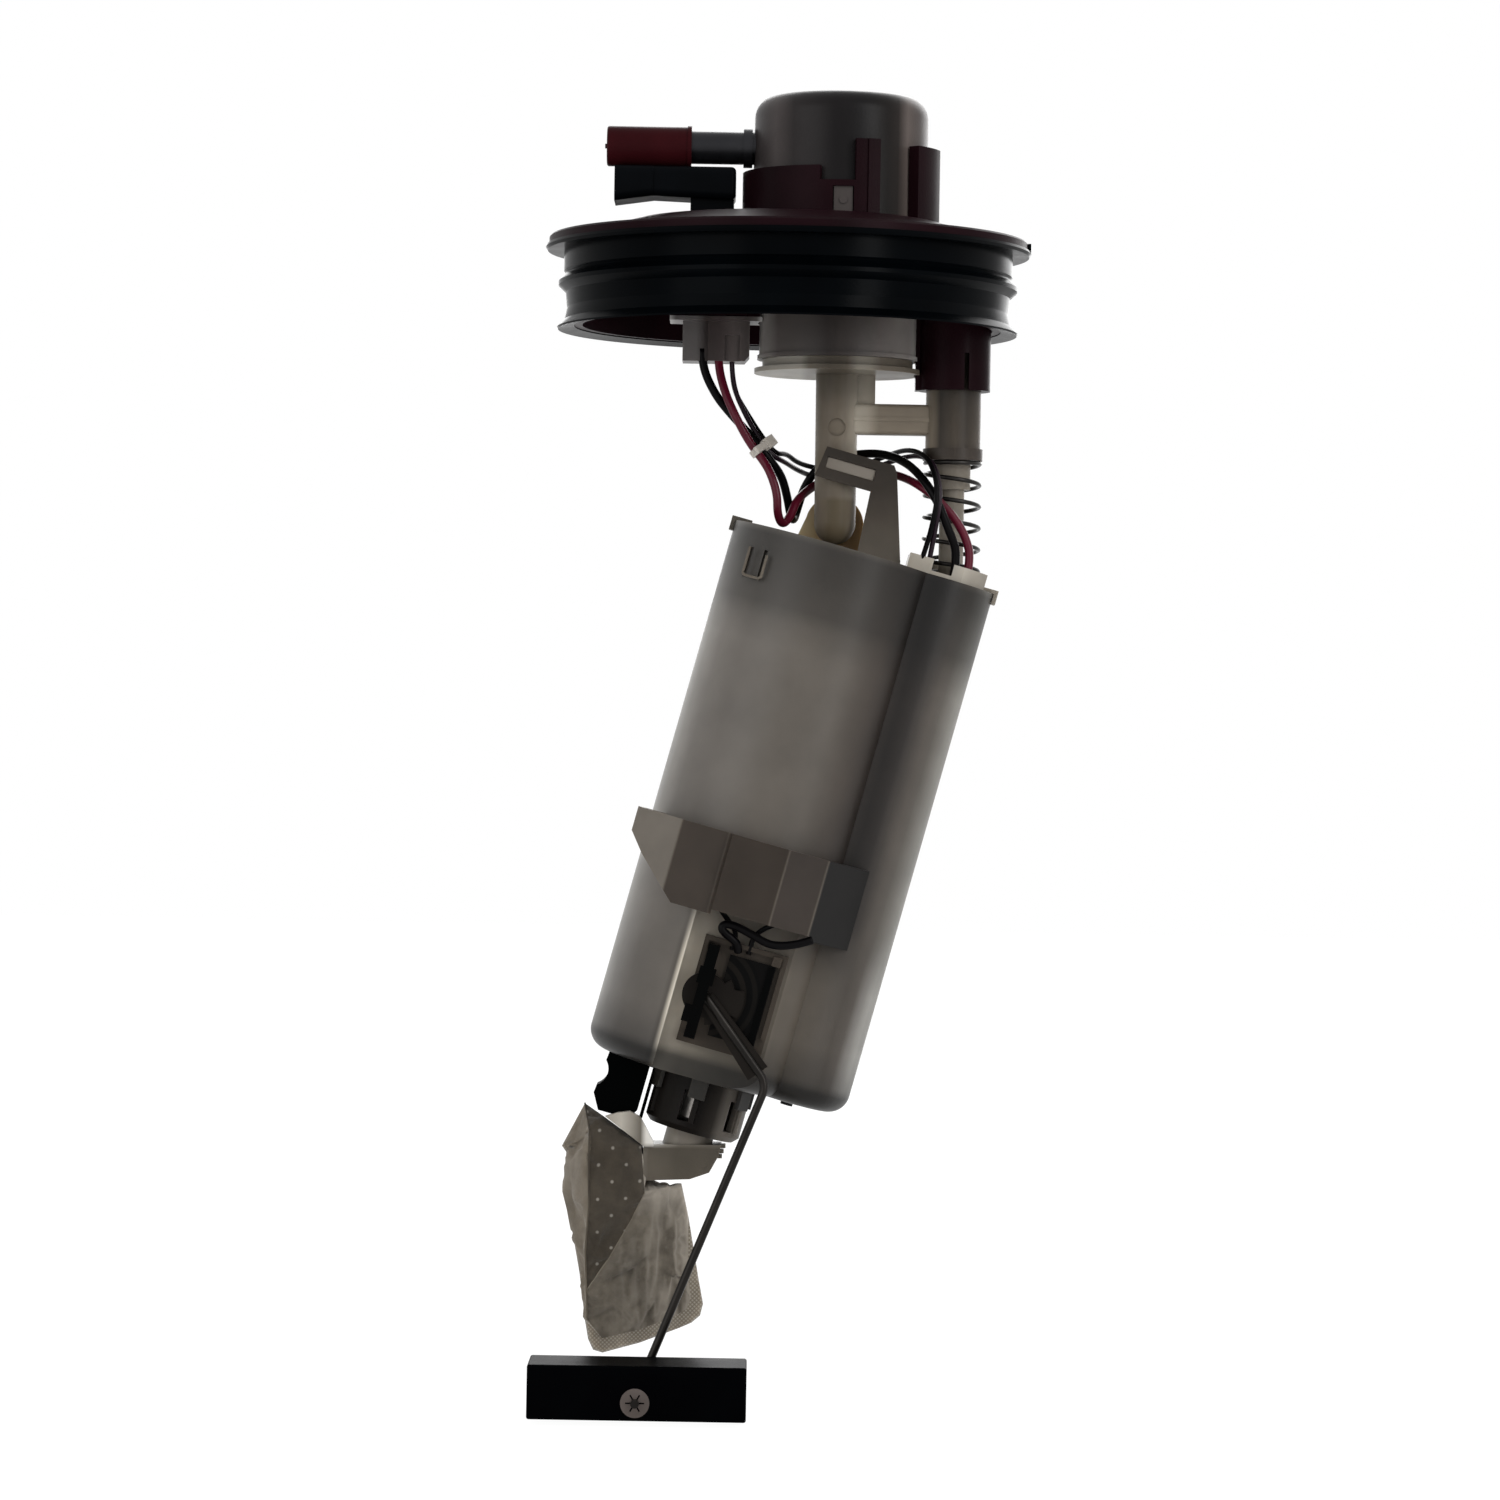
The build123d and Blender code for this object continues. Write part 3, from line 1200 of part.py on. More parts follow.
def feed_hose():
    """Moulded hose from the pump's port to the spigot of the swivel."""
    low, high = PUMP_TOP + 1.0, SHELL_TOP - 3.0
    points = [
        (PUMP_X, 0, low),
        (PUMP_X, 0, low + PORT_LONG + 4),
        (0, swivel_middle(), high - PORT_LONG - 6),
        (0, swivel_middle(), high),
    ]
    path = FilletPolyline(*points, radius=bend_radii(points))
    start = Plane(path @ 0, z_dir=path % 0)
    hose = sweep(start * Circle(HOSE_R), path=path) - sweep(start * Circle(HOSE_BORE), path=path)
    barb_low = PUMP_TOP + PORT_LONG - 3.2
    hose -= rod(PORT_R + 0.4 + SEATED, *upright(PUMP_X, barb_low, barb_low + 1.8))
    return hung(hose)


def pump_end_cap():
    """Holder under the floor, with windows all round and a rim for the hooks."""
    top = SHELL_BOTTOM - SEATED
    cup = rod(END_CAP_R, *upright(PUMP_X, END_CAP_BOTTOM, top))
    cup = chamfer(cup.edges().filter_by(GeomType.CIRCLE).sort_by(Axis.Z)[0], 1.6)
    cup -= rod(END_CAP_R - END_CAP_WALL, *upright(PUMP_X, END_CAP_BOTTOM + END_CAP_WALL, top + 1))
    middle = (END_CAP_BOTTOM + top) / 2 - 0.6
    for i in range(WINDOWS):
        turn = Rot(0, 0, WINDOW_BEARING + i * 360 / WINDOWS)
        opening = block(
            (END_CAP_R - 4, END_CAP_R + 2),
            (-WINDOW_WIDE / 2, WINDOW_WIDE / 2),
            (-WINDOW_TALL / 2, WINDOW_TALL / 2),
        )
        rib = block(
            (END_CAP_R - 0.6, END_CAP_R + 0.6),
            (WINDOW_WIDE / 2 + 0.4, WINDOW_WIDE / 2 + 1.8),
            (-WINDOW_TALL / 2, WINDOW_TALL / 2 - 2.2),
        )
        cup += Pos(PUMP_X, 0, middle) * turn * rib
        cup -= Pos(PUMP_X, 0, middle) * turn * opening
    cup -= rod(COLLAR_R + SEATED, *upright(PUMP_X, END_CAP_BOTTOM - 1, END_CAP_BOTTOM + END_CAP_WALL + 1))
    return hung(cup)


def inlet_valve():
    """Rubber disc that closes the floor's holes, with its pull-in stem."""
    floor = SHELL_BOTTOM + SHELL_WALL
    disc = rod(VALVE_R, *upright(VALVE_X, floor + SEATED, floor + 0.9))
    stem = rod(VALVE_STEM_R, *upright(VALVE_X, SHELL_BOTTOM - 1.4, floor + 0.5))
    bead = rod(VALVE_STEM_R + 0.5, *upright(VALVE_X, SHELL_BOTTOM - 1.4, SHELL_BOTTOM - SEATED))
    return hung(disc + stem + bead)


def bumper():
    """Rubber foot with a hollowed flank, held by a stem through the floor."""
    left, right = FOOT_X - FOOT_LONG / 2, FOOT_X + FOOT_LONG / 2
    top = SHELL_BOTTOM - SEATED
    outline = [
        (left, top),
        (right, top),
        (right, FOOT_BOTTOM + 3),
        (right - 2, FOOT_BOTTOM),
        (left + 1.4, FOOT_BOTTOM),
        (left - 1.2, FOOT_BOTTOM + 4.6),
    ]
    body = front_plate(outline, -FOOT_WIDE / 2, FOOT_WIDE)
    hollow_x, hollow_z = left - FOOT_HOLLOW_R + 1.2, FOOT_BOTTOM + 11
    hollow = rod(FOOT_HOLLOW_R, (hollow_x, -FOOT_WIDE, hollow_z), (hollow_x, FOOT_WIDE, hollow_z))
    stem = rod(FOOT_STEM_R, *upright(FOOT_X, top - 1, SHELL_BOTTOM + SHELL_WALL + 2.4))
    floor = SHELL_BOTTOM + SHELL_WALL
    bead = rod(FOOT_STEM_R + 0.8, *upright(FOOT_X, floor + SEATED, floor + 1.4))
    strip = block((right + 1.0, right + 2.0), (-4, 4), (FOOT_BOTTOM + 1, top))
    joint = block((right - 0.2, right + 1.2), (-4, 4), (top - 1.4, top))
    return hung(body - hollow + stem + bead + strip + joint)


# Splash shield
def splash_shield():
    """Faceted guard in front of the sender, with a slanted lower left corner."""
    lobe_y = -sqrt(LOBE_R**2 - (SHIELD_RIGHT - LOBE_X) ** 2)
    main_y = -sqrt(MAIN_R**2 - (SHIELD_TUCK - MAIN_X) ** 2)
    outer = [
        (SHIELD_TUCK, main_y),
        (SHIELD_LEFT, main_y - 6),
        (SHIELD_LEFT, SHIELD_FRONT + 9),
        (FOLD_LEFT_X, SHIELD_FRONT + 0.6),
        (FOLD_STEP_X, SHIELD_FRONT),
        (FOLD_STEP_X + 1, SHIELD_FRONT - SHIELD_STEP),
        (FOLD_MIDDLE_X, SHIELD_FRONT - SHIELD_STEP + 0.6),
        (FOLD_RIGHT_X, SHIELD_FRONT + 3.4),
        (SHIELD_RIGHT + 0.6, lobe_y - 0.2),
    ]
    wall = thick_line(outer, SHIELD_WALL)
    guard = Pos(0, 0, SHIELD_BOTTOM) * extrude(wall, amount=SHIELD_TOP - SHIELD_BOTTOM, dir=(0, 0, 1))
    guard -= shell_clearance()
    far = SHIELD_LEFT - 8
    slant = front_plate(
        [
            (far, SHIELD_BOTTOM - 1),
            (SLANT_X, SHIELD_BOTTOM - 1),
            (SLANT_X, SHIELD_BOTTOM),
            (SHIELD_LEFT + SLANT_KNEE[0], SHIELD_BOTTOM + SLANT_KNEE[1]),
            (SHIELD_LEFT, SHIELD_BOTTOM + SLANT_RISE),
            (far, SHIELD_BOTTOM + SLANT_RISE + 5),
        ],
        -3 * MAIN_R,
        6 * MAIN_R,
    )
    hem = block((HEM_LEFT_X, HEM_RIGHT_X), (-3 * MAIN_R, 0), (SHIELD_BOTTOM - 1, SHIELD_BOTTOM + HEM_RISE))
    return hung(guard - slant - hem)


def thick_line(points, wall):
    """A band of even thickness to the right of a line of points."""
    inner = []
    count = len(points)
    for i, (x, y) in enumerate(points):
        before = points[max(i - 1, 0)]
        after = points[min(i + 1, count - 1)]
        run_in = Vector(x - before[0], y - before[1])
        run_out = Vector(after[0] - x, after[1] - y)
        if i == 0:
            run_in = run_out
        if i == count - 1:
            run_out = run_in
        normal_in = Vector(-run_in.Y, run_in.X) / run_in.length
        normal_out = Vector(-run_out.Y, run_out.X) / run_out.length
        mean = (normal_in + normal_out) / 2
        share = mean.X**2 + mean.Y**2
        inner.append((x + mean.X * wall / share, y + mean.Y * wall / share))
    return make_face(Polyline(*points, *reversed(inner), close=True))


def shell_clearance():
    """The space of the shell's outside, kept free by pieces that lie against it."""
    return Pos(0, 0, SHELL_BOTTOM) * extrude(shell_outline(-SEATED), amount=SHELL_TOP - SHELL_BOTTOM)


# Level sender
def sender_frame():
    half = SENDER_WIDE / 2
    back = POCKET_Y - SEATED
    across, tall = (SENDER_X - half, SENDER_X + half), (SENDER_BOTTOM, SENDER_TOP)
    rim_front = back - FRAME_BASE - FRAME_RIM
    base = block(across, (back - FRAME_BASE, back), tall)
    rim = block(across, (rim_front, back - 0.2), tall)
    rim -= block(
        (SENDER_X - half + FRAME_WALL, SENDER_X + half - FRAME_WALL),
        (back - 20, back + 1),
        (SENDER_BOTTOM + FRAME_WALL, SENDER_TOP - FRAME_WALL),
    )
    frame = base + rim
    arm_gap = (AXLE_Z - 16, AXLE_Z - 8)
    frame -= block((AXLE_X - 8, SENDER_X + half + 1), (back - 20, back - FRAME_BASE), arm_gap)
    frame += rod(AXLE_BOSS_R, (AXLE_X, back - 0.5, AXLE_Z), (AXLE_X, back - FRAME_BASE - 0.6, AXLE_Z))
    frame -= rod(ARM_R + RUNNING, (AXLE_X, back - 20, AXLE_Z), (AXLE_X, back - 0.4, AXLE_Z))
    for x in LEAD_ENDS:
        frame -= rod(THIN_WIRE_R + SEATED, *upright(x, SENDER_TOP - 4, SENDER_TOP + 1, lead_end_y()))
    hook_right = SENDER_X + half - 1.6
    for z in (SENDER_TOP - 2.2, SENDER_BOTTOM + 1.4):
        frame += block((hook_right - 2.6, hook_right), (rim_front - 1.2, back - 1), (z - 1.4, z + 1.4))
    return hung(frame)


def resistor_board():
    front = board_front()
    left, right = BOARD_X - BOARD_WIDE / 2, BOARD_X + BOARD_WIDE / 2
    board = block((left, right), (front, front + BOARD_THICK), board_ends())
    return hung(board - rod(TRACK_R - 4.4, (AXLE_X, front - 1, AXLE_Z), (AXLE_X, front + 2, AXLE_Z)))


def board_ends():
    """The heights of the resistor board's lower and upper edge."""
    middle = AXLE_Z + BOARD_LIFT
    return middle - BOARD_TALL / 2, middle + BOARD_TALL / 2


def lead_end_y():
    """How far forward the leads lie where they enter the sender's frame."""
    return POCKET_Y - FRAME_BASE - THIN_WIRE_R - 0.2


def board_front():
    """The front face of the resistor board, seated on the frame's base."""
    return POCKET_Y - SEATED - FRAME_BASE - SEATED - BOARD_THICK


def sender_bracket():
    """Dark strap that bridges the axle, and the dark rail on the board's right edge."""
    base = POCKET_Y - 2 * SEATED - FRAME_BASE
    front = ARM_Y - ARM_R - STRAP_GAP - STRAP_THICK
    left, right = STRAP_X - STRAP_HALF, STRAP_X + STRAP_HALF
    bar = block((left + 0.8, right - 0.8), (front, front + STRAP_THICK), (STRAP_BOTTOM, STRAP_TOP))
    wide_top = block((left, right), (front, front + STRAP_THICK), (AXLE_Z + 3, AXLE_Z + 8))
    wide_low = block((left - 1.2, right - 1), (front, front + STRAP_THICK), (AXLE_Z - 8.5, AXLE_Z - 3.5))
    top_leg = block((left + 0.8, right - 0.8), (front, base), (STRAP_TOP - STRAP_LEG, STRAP_TOP))
    low_leg = block((left + 0.8, right - 0.8), (front, base), (STRAP_BOTTOM, STRAP_BOTTOM + STRAP_LEG))
    strap = bar + wide_top + wide_low + top_leg + low_leg
    board_low, board_high = board_ends()
    rail_back = board_front() - SEATED
    rail = block(
        (RAIL_X - RAIL_HALF, RAIL_X + RAIL_HALF),
        (rail_back - RAIL_THICK, rail_back),
        (board_low + RAIL_INSET, board_high - RAIL_INSET),
    )
    return [hung(strap), hung(rail)]


def rotor_faces():
    """The back and front of the rotor's disc, between the board and the arm."""
    front = ARM_Y + ARM_R - SEATED
    return front + ROTOR_THICK, front


def rotor_rim(bearing, reach):
    """A point on the rotor's edge, seen from the front."""
    across, up = polar(reach, bearing)
    return AXLE_X + across, AXLE_Z + up


def sender_rotor():
    """Disc and fan that carry the wiper, with a channel that grips the arm."""
    back, front = rotor_faces()
    disc = rod(ROTOR_DISC_R, (AXLE_X, back, AXLE_Z), (AXLE_X, front, AXLE_Z))
    rim = [rotor_rim(a, ROTOR_FAN_R) for a in range(-75, -24, 10)]
    rim += [rotor_rim(a, FINGER_R) for a in range(-20, 21, 10)]
    rim += [rotor_rim(a, ROTOR_FAN_R) for a in range(25, 46, 10)]
    fan_face = make_face(Plane.XZ * Polyline((AXLE_X, AXLE_Z), *rim, close=True))
    fan = Pos(0, back, 0) * extrude(fan_face, amount=back - front)
    hub = rod(2.6, (AXLE_X, back + 0.9, AXLE_Z), (AXLE_X, front, AXLE_Z))
    along = Vector(ARM_BEND_X - AXLE_X, 0, ARM_BEND_Z - AXLE_Z).normalized()
    channel_plane = Plane(origin=(AXLE_X, front + 0.4, AXLE_Z), x_dir=along, z_dir=(0, -1, 0))
    low_end, high_end = (CHANNEL_LONG, -CHANNEL_HALF - 1.6), (CHANNEL_LONG, CHANNEL_HALF + 0.8)
    grip_face = make_face(Polyline((1, -CHANNEL_HALF), low_end, high_end, (1, CHANNEL_HALF), close=True))
    grip = channel_plane * extrude(grip_face, amount=CHANNEL_RISE + 0.4)
    rotor = disc + fan + hub + grip
    return hung(rotor - arm_bar(ARM_R + SEATED))


def wiper_contact():
    """Sprung two-fingered contact between the fan and the resistor tracks."""
    back, front = rotor_faces()
    touch = board_front() - RUNNING
    plate_x = AXLE_X + TRACK_R
    plate = block((plate_x - 2.4, plate_x + 0.4), (back + SEATED, back + 0.32), (AXLE_Z - 3.2, AXLE_Z + 3.2))
    fingers = []
    for z in (AXLE_Z - 1.8, AXLE_Z + 1.8):
        fingers.append(block((plate_x - 1.2, plate_x - 0.4), (back + 0.2, touch), (z - 0.5, z + 0.5)))
    return hung(plate + fingers[0] + fingers[1])


def sender_inner_leads():
    """Two thin leads from under the lid, out below the shield, to the sender."""
    under = SHELL_TOP - LID_THICK - SEATED
    (black_x, black_y), (purple_x, purple_y) = SENDER_ENTRY, PURPLE_ENTRY
    (left_x, hole_z), (right_x, right_z) = SENDER_WIRE_HOLES
    out = -MAIN_R - 1.9
    end_y = lead_end_y()
    black = [
        (black_x, black_y, under),
        (black_x, black_y, under - 14),
        (18, -18, under - 36),
        (4, -21, hole_z + 17),
        (left_x, -23.6, hole_z + 6.5),
        (left_x, -26.6, hole_z + 0.6),
        (left_x, out - 1, hole_z - 0.8),
        (left_x + 1.6, out + 1.6, hole_z - 9),
        (left_x + 5.6, end_y - 1.0, SENDER_TOP + 6.4),
        (LEAD_ENDS[0], end_y, SENDER_TOP + 3.0),
        (LEAD_ENDS[0], end_y, SENDER_TOP - 2.4),
    ]
    red = [
        (purple_x, purple_y, under),
        (purple_x, purple_y, under - 14),
        (24, -11.4, under - 36),
        (right_x, -16.4, right_z + 14),
        (right_x, -19.4, right_z + 4.8),
        (right_x, -22.6, right_z + 0.5),
        (right_x - 0.4, out + 2.4, right_z - 1.6),
        (right_x - 3.0, end_y - 2.4, right_z - 10),
        (right_x - 7.0, end_y - 1.0, SENDER_TOP + 6.2),
        (LEAD_ENDS[1], end_y, SENDER_TOP + 3.0),
        (LEAD_ENDS[1], end_y, SENDER_TOP - 2.4),
    ]
    routes = (("sender_inner_black", black), ("sender_inner_red", red))
    return [hung(wire(name, points, THIN_WIRE_R)) for name, points in routes]


def pump_inner_leads():
    """Two leads from under the lid to the terminals on top of the pump."""
    under = SHELL_TOP - LID_THICK - SEATED
    end = PUMP_TOP + SEATED
    leads = []
    for name, entry, y in (("pump_inner_black", BLACK_ENTRY, -7.0), ("pump_inner_red", RED_ENTRY, 7.0)):
        points = [
            (entry[0], entry[1], under),
            (entry[0], entry[1], under - 14),
            (PUMP_X + 14, y * 0.7, under - 30),
            (PUMP_X + 2, y, end + 14),
            (PUMP_X + 2, y, end),
        ]
        leads.append(hung(wire(name, points, THICK_WIRE_R)))
    return leads


# Float arm and float
def arm_path():
    """Route of the bent arm: through the axle, down the arm, out through the float."""
    back = POCKET_Y - 0.6
    points = [
        (AXLE_X, back, AXLE_Z),
        (AXLE_X, ARM_Y, AXLE_Z),
        (ARM_BEND_X, ARM_Y, ARM_BEND_Z),
        (FLOAT_HOLE_X, ARM_Y, FLOAT_HOLE_Z),
        (FLOAT_HOLE_X, FLOAT_BACK - FLOAT_DEEP - WASHER_THICK - 2.0, FLOAT_HOLE_Z),
    ]
    return FilletPolyline(*points, radius=[AXLE_BEND_R, ARM_BEND_R, HOOK_BEND_R])


def arm_bar(radius):
    path = arm_path()
    return sweep(Plane(path @ 0, z_dir=path % 0) * Circle(radius), path=path)


def float_arm():
    return hung(arm_bar(ARM_R))


def float_place():
    """The middle of the float's hole at rest."""
    x, y, z = hung_point(FLOAT_HOLE_X, 0, FLOAT_HOLE_Z)
    return x, z


def float_block():
    """Foam float that stays level at rest, bored for the arm."""
    x, z = float_place()
    middle_x, middle_z = x - FLOAT_OFF_CENTRE, z - FLOAT_HOLE_RISE
    body = block(
        (middle_x - FLOAT_LONG / 2, middle_x + FLOAT_LONG / 2),
        (FLOAT_BACK - FLOAT_DEEP, FLOAT_BACK),
        (middle_z - FLOAT_TALL / 2, middle_z + FLOAT_TALL / 2),
    )
    body = fillet(body.edges(), 0.7)
    body -= rod(ARM_R + RUNNING, (x, FLOAT_BACK + 1, z), (x, FLOAT_BACK - FLOAT_DEEP - 1, z))
    return body - rod(HOOK_BEND_R + ARM_R + 0.4, (x, FLOAT_BACK + 1, z), (x, FLOAT_BACK - HOOK_BEND_R, z))


def float_washer():
    """Toothed washer pushed on the arm's end in front of the float."""
    x, z = float_place()
    back = FLOAT_BACK - FLOAT_DEEP - RUNNING
    washer = tube(WASHER_R, ARM_R + SEATED, (x, back, z), (x, back - WASHER_THICK, z))
    tooth = block((ARM_R - 0.5, ARM_R + 1.5), (-0.22, 0.22), (-1 - WASHER_THICK, 1))
    for i in range(WASHER_TEETH):
        washer -= Pos(x, back - WASHER_THICK, z) * Rot(90, 0, 0) * Rot(0, 0, i * 360 / WASHER_TEETH) * tooth
    return washer


# Strainer under the pump
def strainer_fitting():
    """Elbow: a collar in the end cap, a flat duct to the sock and a hood over its mouth."""
    bottom = DUCT_TOP - DUCT_TALL
    half = DUCT_DEEP / 2
    outline = [
        (DUCT_MOUTH_X, DUCT_TOP),
        (DUCT_END_X, DUCT_TOP),
        (DUCT_END_X - 0.8, DUCT_TOP - 3.2),
        (DUCT_END_X - 3.4, bottom + 2.6),
        (DUCT_END_X - 9, bottom + 0.6),
        (DUCT_MOUTH_X, bottom),
    ]
    duct = front_plate(outline, -half, DUCT_DEEP)
    hollow = [
        (DUCT_MOUTH_X - 1, DUCT_TOP - DUCT_WALL),
        (DUCT_END_X - DUCT_WALL - 1, DUCT_TOP - DUCT_WALL),
        (DUCT_END_X - DUCT_WALL - 3.6, bottom + 2.6 + DUCT_WALL),
        (DUCT_MOUTH_X - 1, bottom + DUCT_WALL),
    ]
    low = hung_point(PUMP_X, 0, END_CAP_BOTTOM - COLLAR_DROP)
    high = hung_point(PUMP_X, 0, END_CAP_BOTTOM + END_CAP_WALL - 0.2)
    bore_low = hung_point(PUMP_X, 0, END_CAP_BOTTOM - COLLAR_DROP + 1)
    bore_high = hung_point(PUMP_X, 0, END_CAP_BOTTOM + END_CAP_WALL + 3)
    fitting = duct + rod(COLLAR_R, low, high)
    fitting -= front_plate(hollow, -half + DUCT_WALL, DUCT_DEEP - 2 * DUCT_WALL)
    fitting -= rod(COLLAR_R - DUCT_WALL, bore_low, bore_high)
    for i in range(3):
        at = DUCT_TOP - 0.6 - 1.5 * i
        step_end = DUCT_END_X + 1.2 - 0.5 * i
        fitting += block((DUCT_END_X - 1.8, step_end), (-half / 2, half / 2), (at - 0.5, at + 0.4))
    hood = [(DUCT_MOUTH_X + across, DUCT_TOP + up) for across, up in HOOD_CORNERS]
    return fitting + front_plate(hood, HOOD_Y, HOOD_DEEP)


def sock_ring(height, slope, corners):
    """One closed section of the sock; its height changes along X by the slope."""
    first = corners[0][0]
    return make_face(Polyline(*[(x, y, height + slope * (x - first)) for x, y in corners], close=True))


def strainer_sock():
    """Felt bag with its upper seam edge-on and its lower seam across the view."""
    mouth = DUCT_MOUTH_X - SEATED
    under = DUCT_TOP - DUCT_TALL
    peak = [(-55.8, 0), (-55.2, -13), (-54.6, -13), (-54.0, 0), (-54.6, 12), (-55.2, 12)]
    brow = [(-58.2, -1), (-54.4, -16), (-50.0, -8), (-49.6, 6), (-52.0, 10.5), (-54.8, 12)]
    lip_top = [(-62.0, -1), (-53.0, -19), (mouth, -9), (mouth, 7), (-46.0, 9), (-54.0, 12)]
    lip_low = [(-61.3, 0), (-52.7, -20.3), (mouth, -9), (mouth, 5.5), (-46.0, 8), (-53.0, 10)]
    belly = [(-60.8, 0), (-52.7, -20.5), (-36.2, -11), (-26.6, -3), (-33.0, 1.5), (-53.0, 8.5)]
    waist = [(-56.0, -2), (-53.6, -17.5), (-38.0, -11), (-22.7, -4.5), (-35.0, -1), (-52.0, 4)]
    seam = [(-50.6, -5), (-42.0, -6.2), (-30.0, -6.2), (-19.2, -5), (-30.0, -3.8), (-42.0, -3.8)]
    rings = [
        sock_ring(DUCT_TOP + 11.6, 0, peak),
        sock_ring(DUCT_TOP + 6.2, 0, brow),
        sock_ring(DUCT_TOP - 0.4, 0, lip_top),
        sock_ring(under, 0, lip_low),
        sock_ring(under - 2, 0, belly),
        sock_ring(DUCT_TOP - 34.2, 0.15, waist),
        sock_ring(DUCT_TOP - 60.8, 0.41, seam),
    ]
    return loft(rings, ruled=True)


def save(name, shape):
    """Writes one piece, or a group of like pieces, to its own file."""
    whole = Compound(children=list(shape)) if isinstance(shape, (list, tuple)) else shape
    export_step(whole, "parts/" + name + ".step")


os.makedirs("parts", exist_ok=True)
PIECES = {
    "flange": flange,
    "flange_seal": flange_seal,
    "filter_canister": filter_canister,
    "filter_element": filter_element,
    "canister_grommets": canister_grommets,
    "pressure_regulator": pressure_regulator,
    "outlet_nipple": outlet_nipple,
    "outlet_cap": outlet_cap,
    "canister_clip": canister_clip,
    "harness_connector": harness_connector,
    "harness_terminals": harness_terminals,
    "inner_connector": inner_connector,
    "filter_cup": filter_cup,
    "feed_manifold": feed_manifold,
    "swivel_oring": swivel_oring,
    "spring_ring": spring_ring,
    "return_spring": return_spring,
    "pump_lead_black": pump_lead_black,
    "pump_lead_red": pump_lead_red,
    "sender_lead_purple": sender_lead_purple,
    "sender_lead_black": sender_lead_black,
    "cable_tie": cable_tie,
    "reservoir": reservoir,
    "reservoir_lid": reservoir_lid,
    "swivel_socket": swivel_socket,
    "swivel_bracket": swivel_bracket,
    "pump_motor": pump_motor,
    "pump_isolator": pump_isolator,
    "feed_hose": feed_hose,
    "pump_end_cap": pump_end_cap,
    "inlet_valve": inlet_valve,
    "bumper": bumper,
    "splash_shield": splash_shield,
    "sender_frame": sender_frame,
    "resistor_board": resistor_board,
    "sender_bracket": sender_bracket,
    "sender_rotor": sender_rotor,
    "wiper_contact": wiper_contact,
    "sender_inner_leads": sender_inner_leads,
    "pump_inner_leads": pump_inner_leads,
    "float_arm": float_arm,
    "float_washer": float_washer,
    "float": float_block,
    "strainer_fitting": strainer_fitting,
    "strainer_sock": strainer_sock,
}
for piece_name, build in PIECES.items():
    save(piece_name, build())
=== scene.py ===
import math

import bmesh
import bpy
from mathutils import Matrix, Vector


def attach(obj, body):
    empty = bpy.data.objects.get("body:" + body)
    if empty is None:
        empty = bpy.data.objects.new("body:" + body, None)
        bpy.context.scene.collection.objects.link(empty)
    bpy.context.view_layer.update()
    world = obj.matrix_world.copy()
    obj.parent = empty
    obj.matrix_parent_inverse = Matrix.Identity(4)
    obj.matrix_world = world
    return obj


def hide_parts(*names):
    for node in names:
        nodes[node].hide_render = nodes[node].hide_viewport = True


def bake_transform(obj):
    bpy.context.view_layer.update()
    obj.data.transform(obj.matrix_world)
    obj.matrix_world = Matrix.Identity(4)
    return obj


MM = 0.001

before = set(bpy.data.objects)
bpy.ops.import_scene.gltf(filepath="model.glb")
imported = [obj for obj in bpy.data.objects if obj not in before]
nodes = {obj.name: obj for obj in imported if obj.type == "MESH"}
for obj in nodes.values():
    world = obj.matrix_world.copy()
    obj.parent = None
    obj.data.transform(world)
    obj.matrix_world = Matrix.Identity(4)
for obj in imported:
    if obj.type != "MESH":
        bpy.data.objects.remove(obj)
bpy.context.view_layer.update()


# Camera
CAMERA_PLACE = (-0.0087, -1.5, -0.1442)
CAMERA_ROLL = math.radians(-1.0)
SENSOR_WIDTH = 36.0
LENS = 123.7


def make_camera():
    data = bpy.data.cameras.new("camera")
    data.sensor_width = SENSOR_WIDTH
    data.lens = LENS
    camera = bpy.data.objects.new("camera", data)
    bpy.context.collection.objects.link(camera)
    camera.location = CAMERA_PLACE
    camera.rotation_mode = "XYZ"
    camera.rotation_euler = (math.radians(90), CAMERA_ROLL, 0)
    bpy.context.scene.camera = camera


make_camera()


# Materials
def linear(text):
    """Scene colour from a hex colour."""
    out = []
    for i in (0, 2, 4):
        v = int(text[i : i + 2], 16) / 255
        out.append(v / 12.92 if v <= 0.04045 else ((v + 0.055) / 1.055) ** 2.4)
    return (*out, 1.0)


def new_material(name):
    material = bpy.data.materials.new(name)
    material.use_nodes = True
    tree = material.node_tree
    return material, tree, tree.nodes["Principled BSDF"]


def noise(tree, scale, detail=3.0, rough=0.5, stretch=(1, 1, 1)):
    """Noise in the part's own coordinates, in features per metre."""
    coords = tree.nodes.new("ShaderNodeTexCoord")
    mapping = tree.nodes.new("ShaderNodeMapping")
    mapping.inputs["Scale"].default_value = stretch
    texture = tree.nodes.new("ShaderNodeTexNoise")
    texture.inputs["Scale"].default_value = scale
    texture.inputs["Detail"].default_value = detail
    texture.inputs["Roughness"].default_value = rough
    tree.links.new(coords.outputs["Object"], mapping.inputs["Vector"])
    tree.links.new(mapping.outputs["Vector"], texture.inputs["Vector"])
    return texture


def ramp(tree, source, stops):
    """A colour ramp over a 0 to 1 value; stops are (place, hex colour)."""
    node = tree.nodes.new("ShaderNodeValToRGB")
    elements = node.color_ramp.elements
    while len(elements) < len(stops):
        elements.new(0.5)
    for element, (place, colour) in zip(elements, stops):
        element.position = place
        element.color = linear(colour)
    tree.links.new(source, node.inputs["Fac"])
    return node


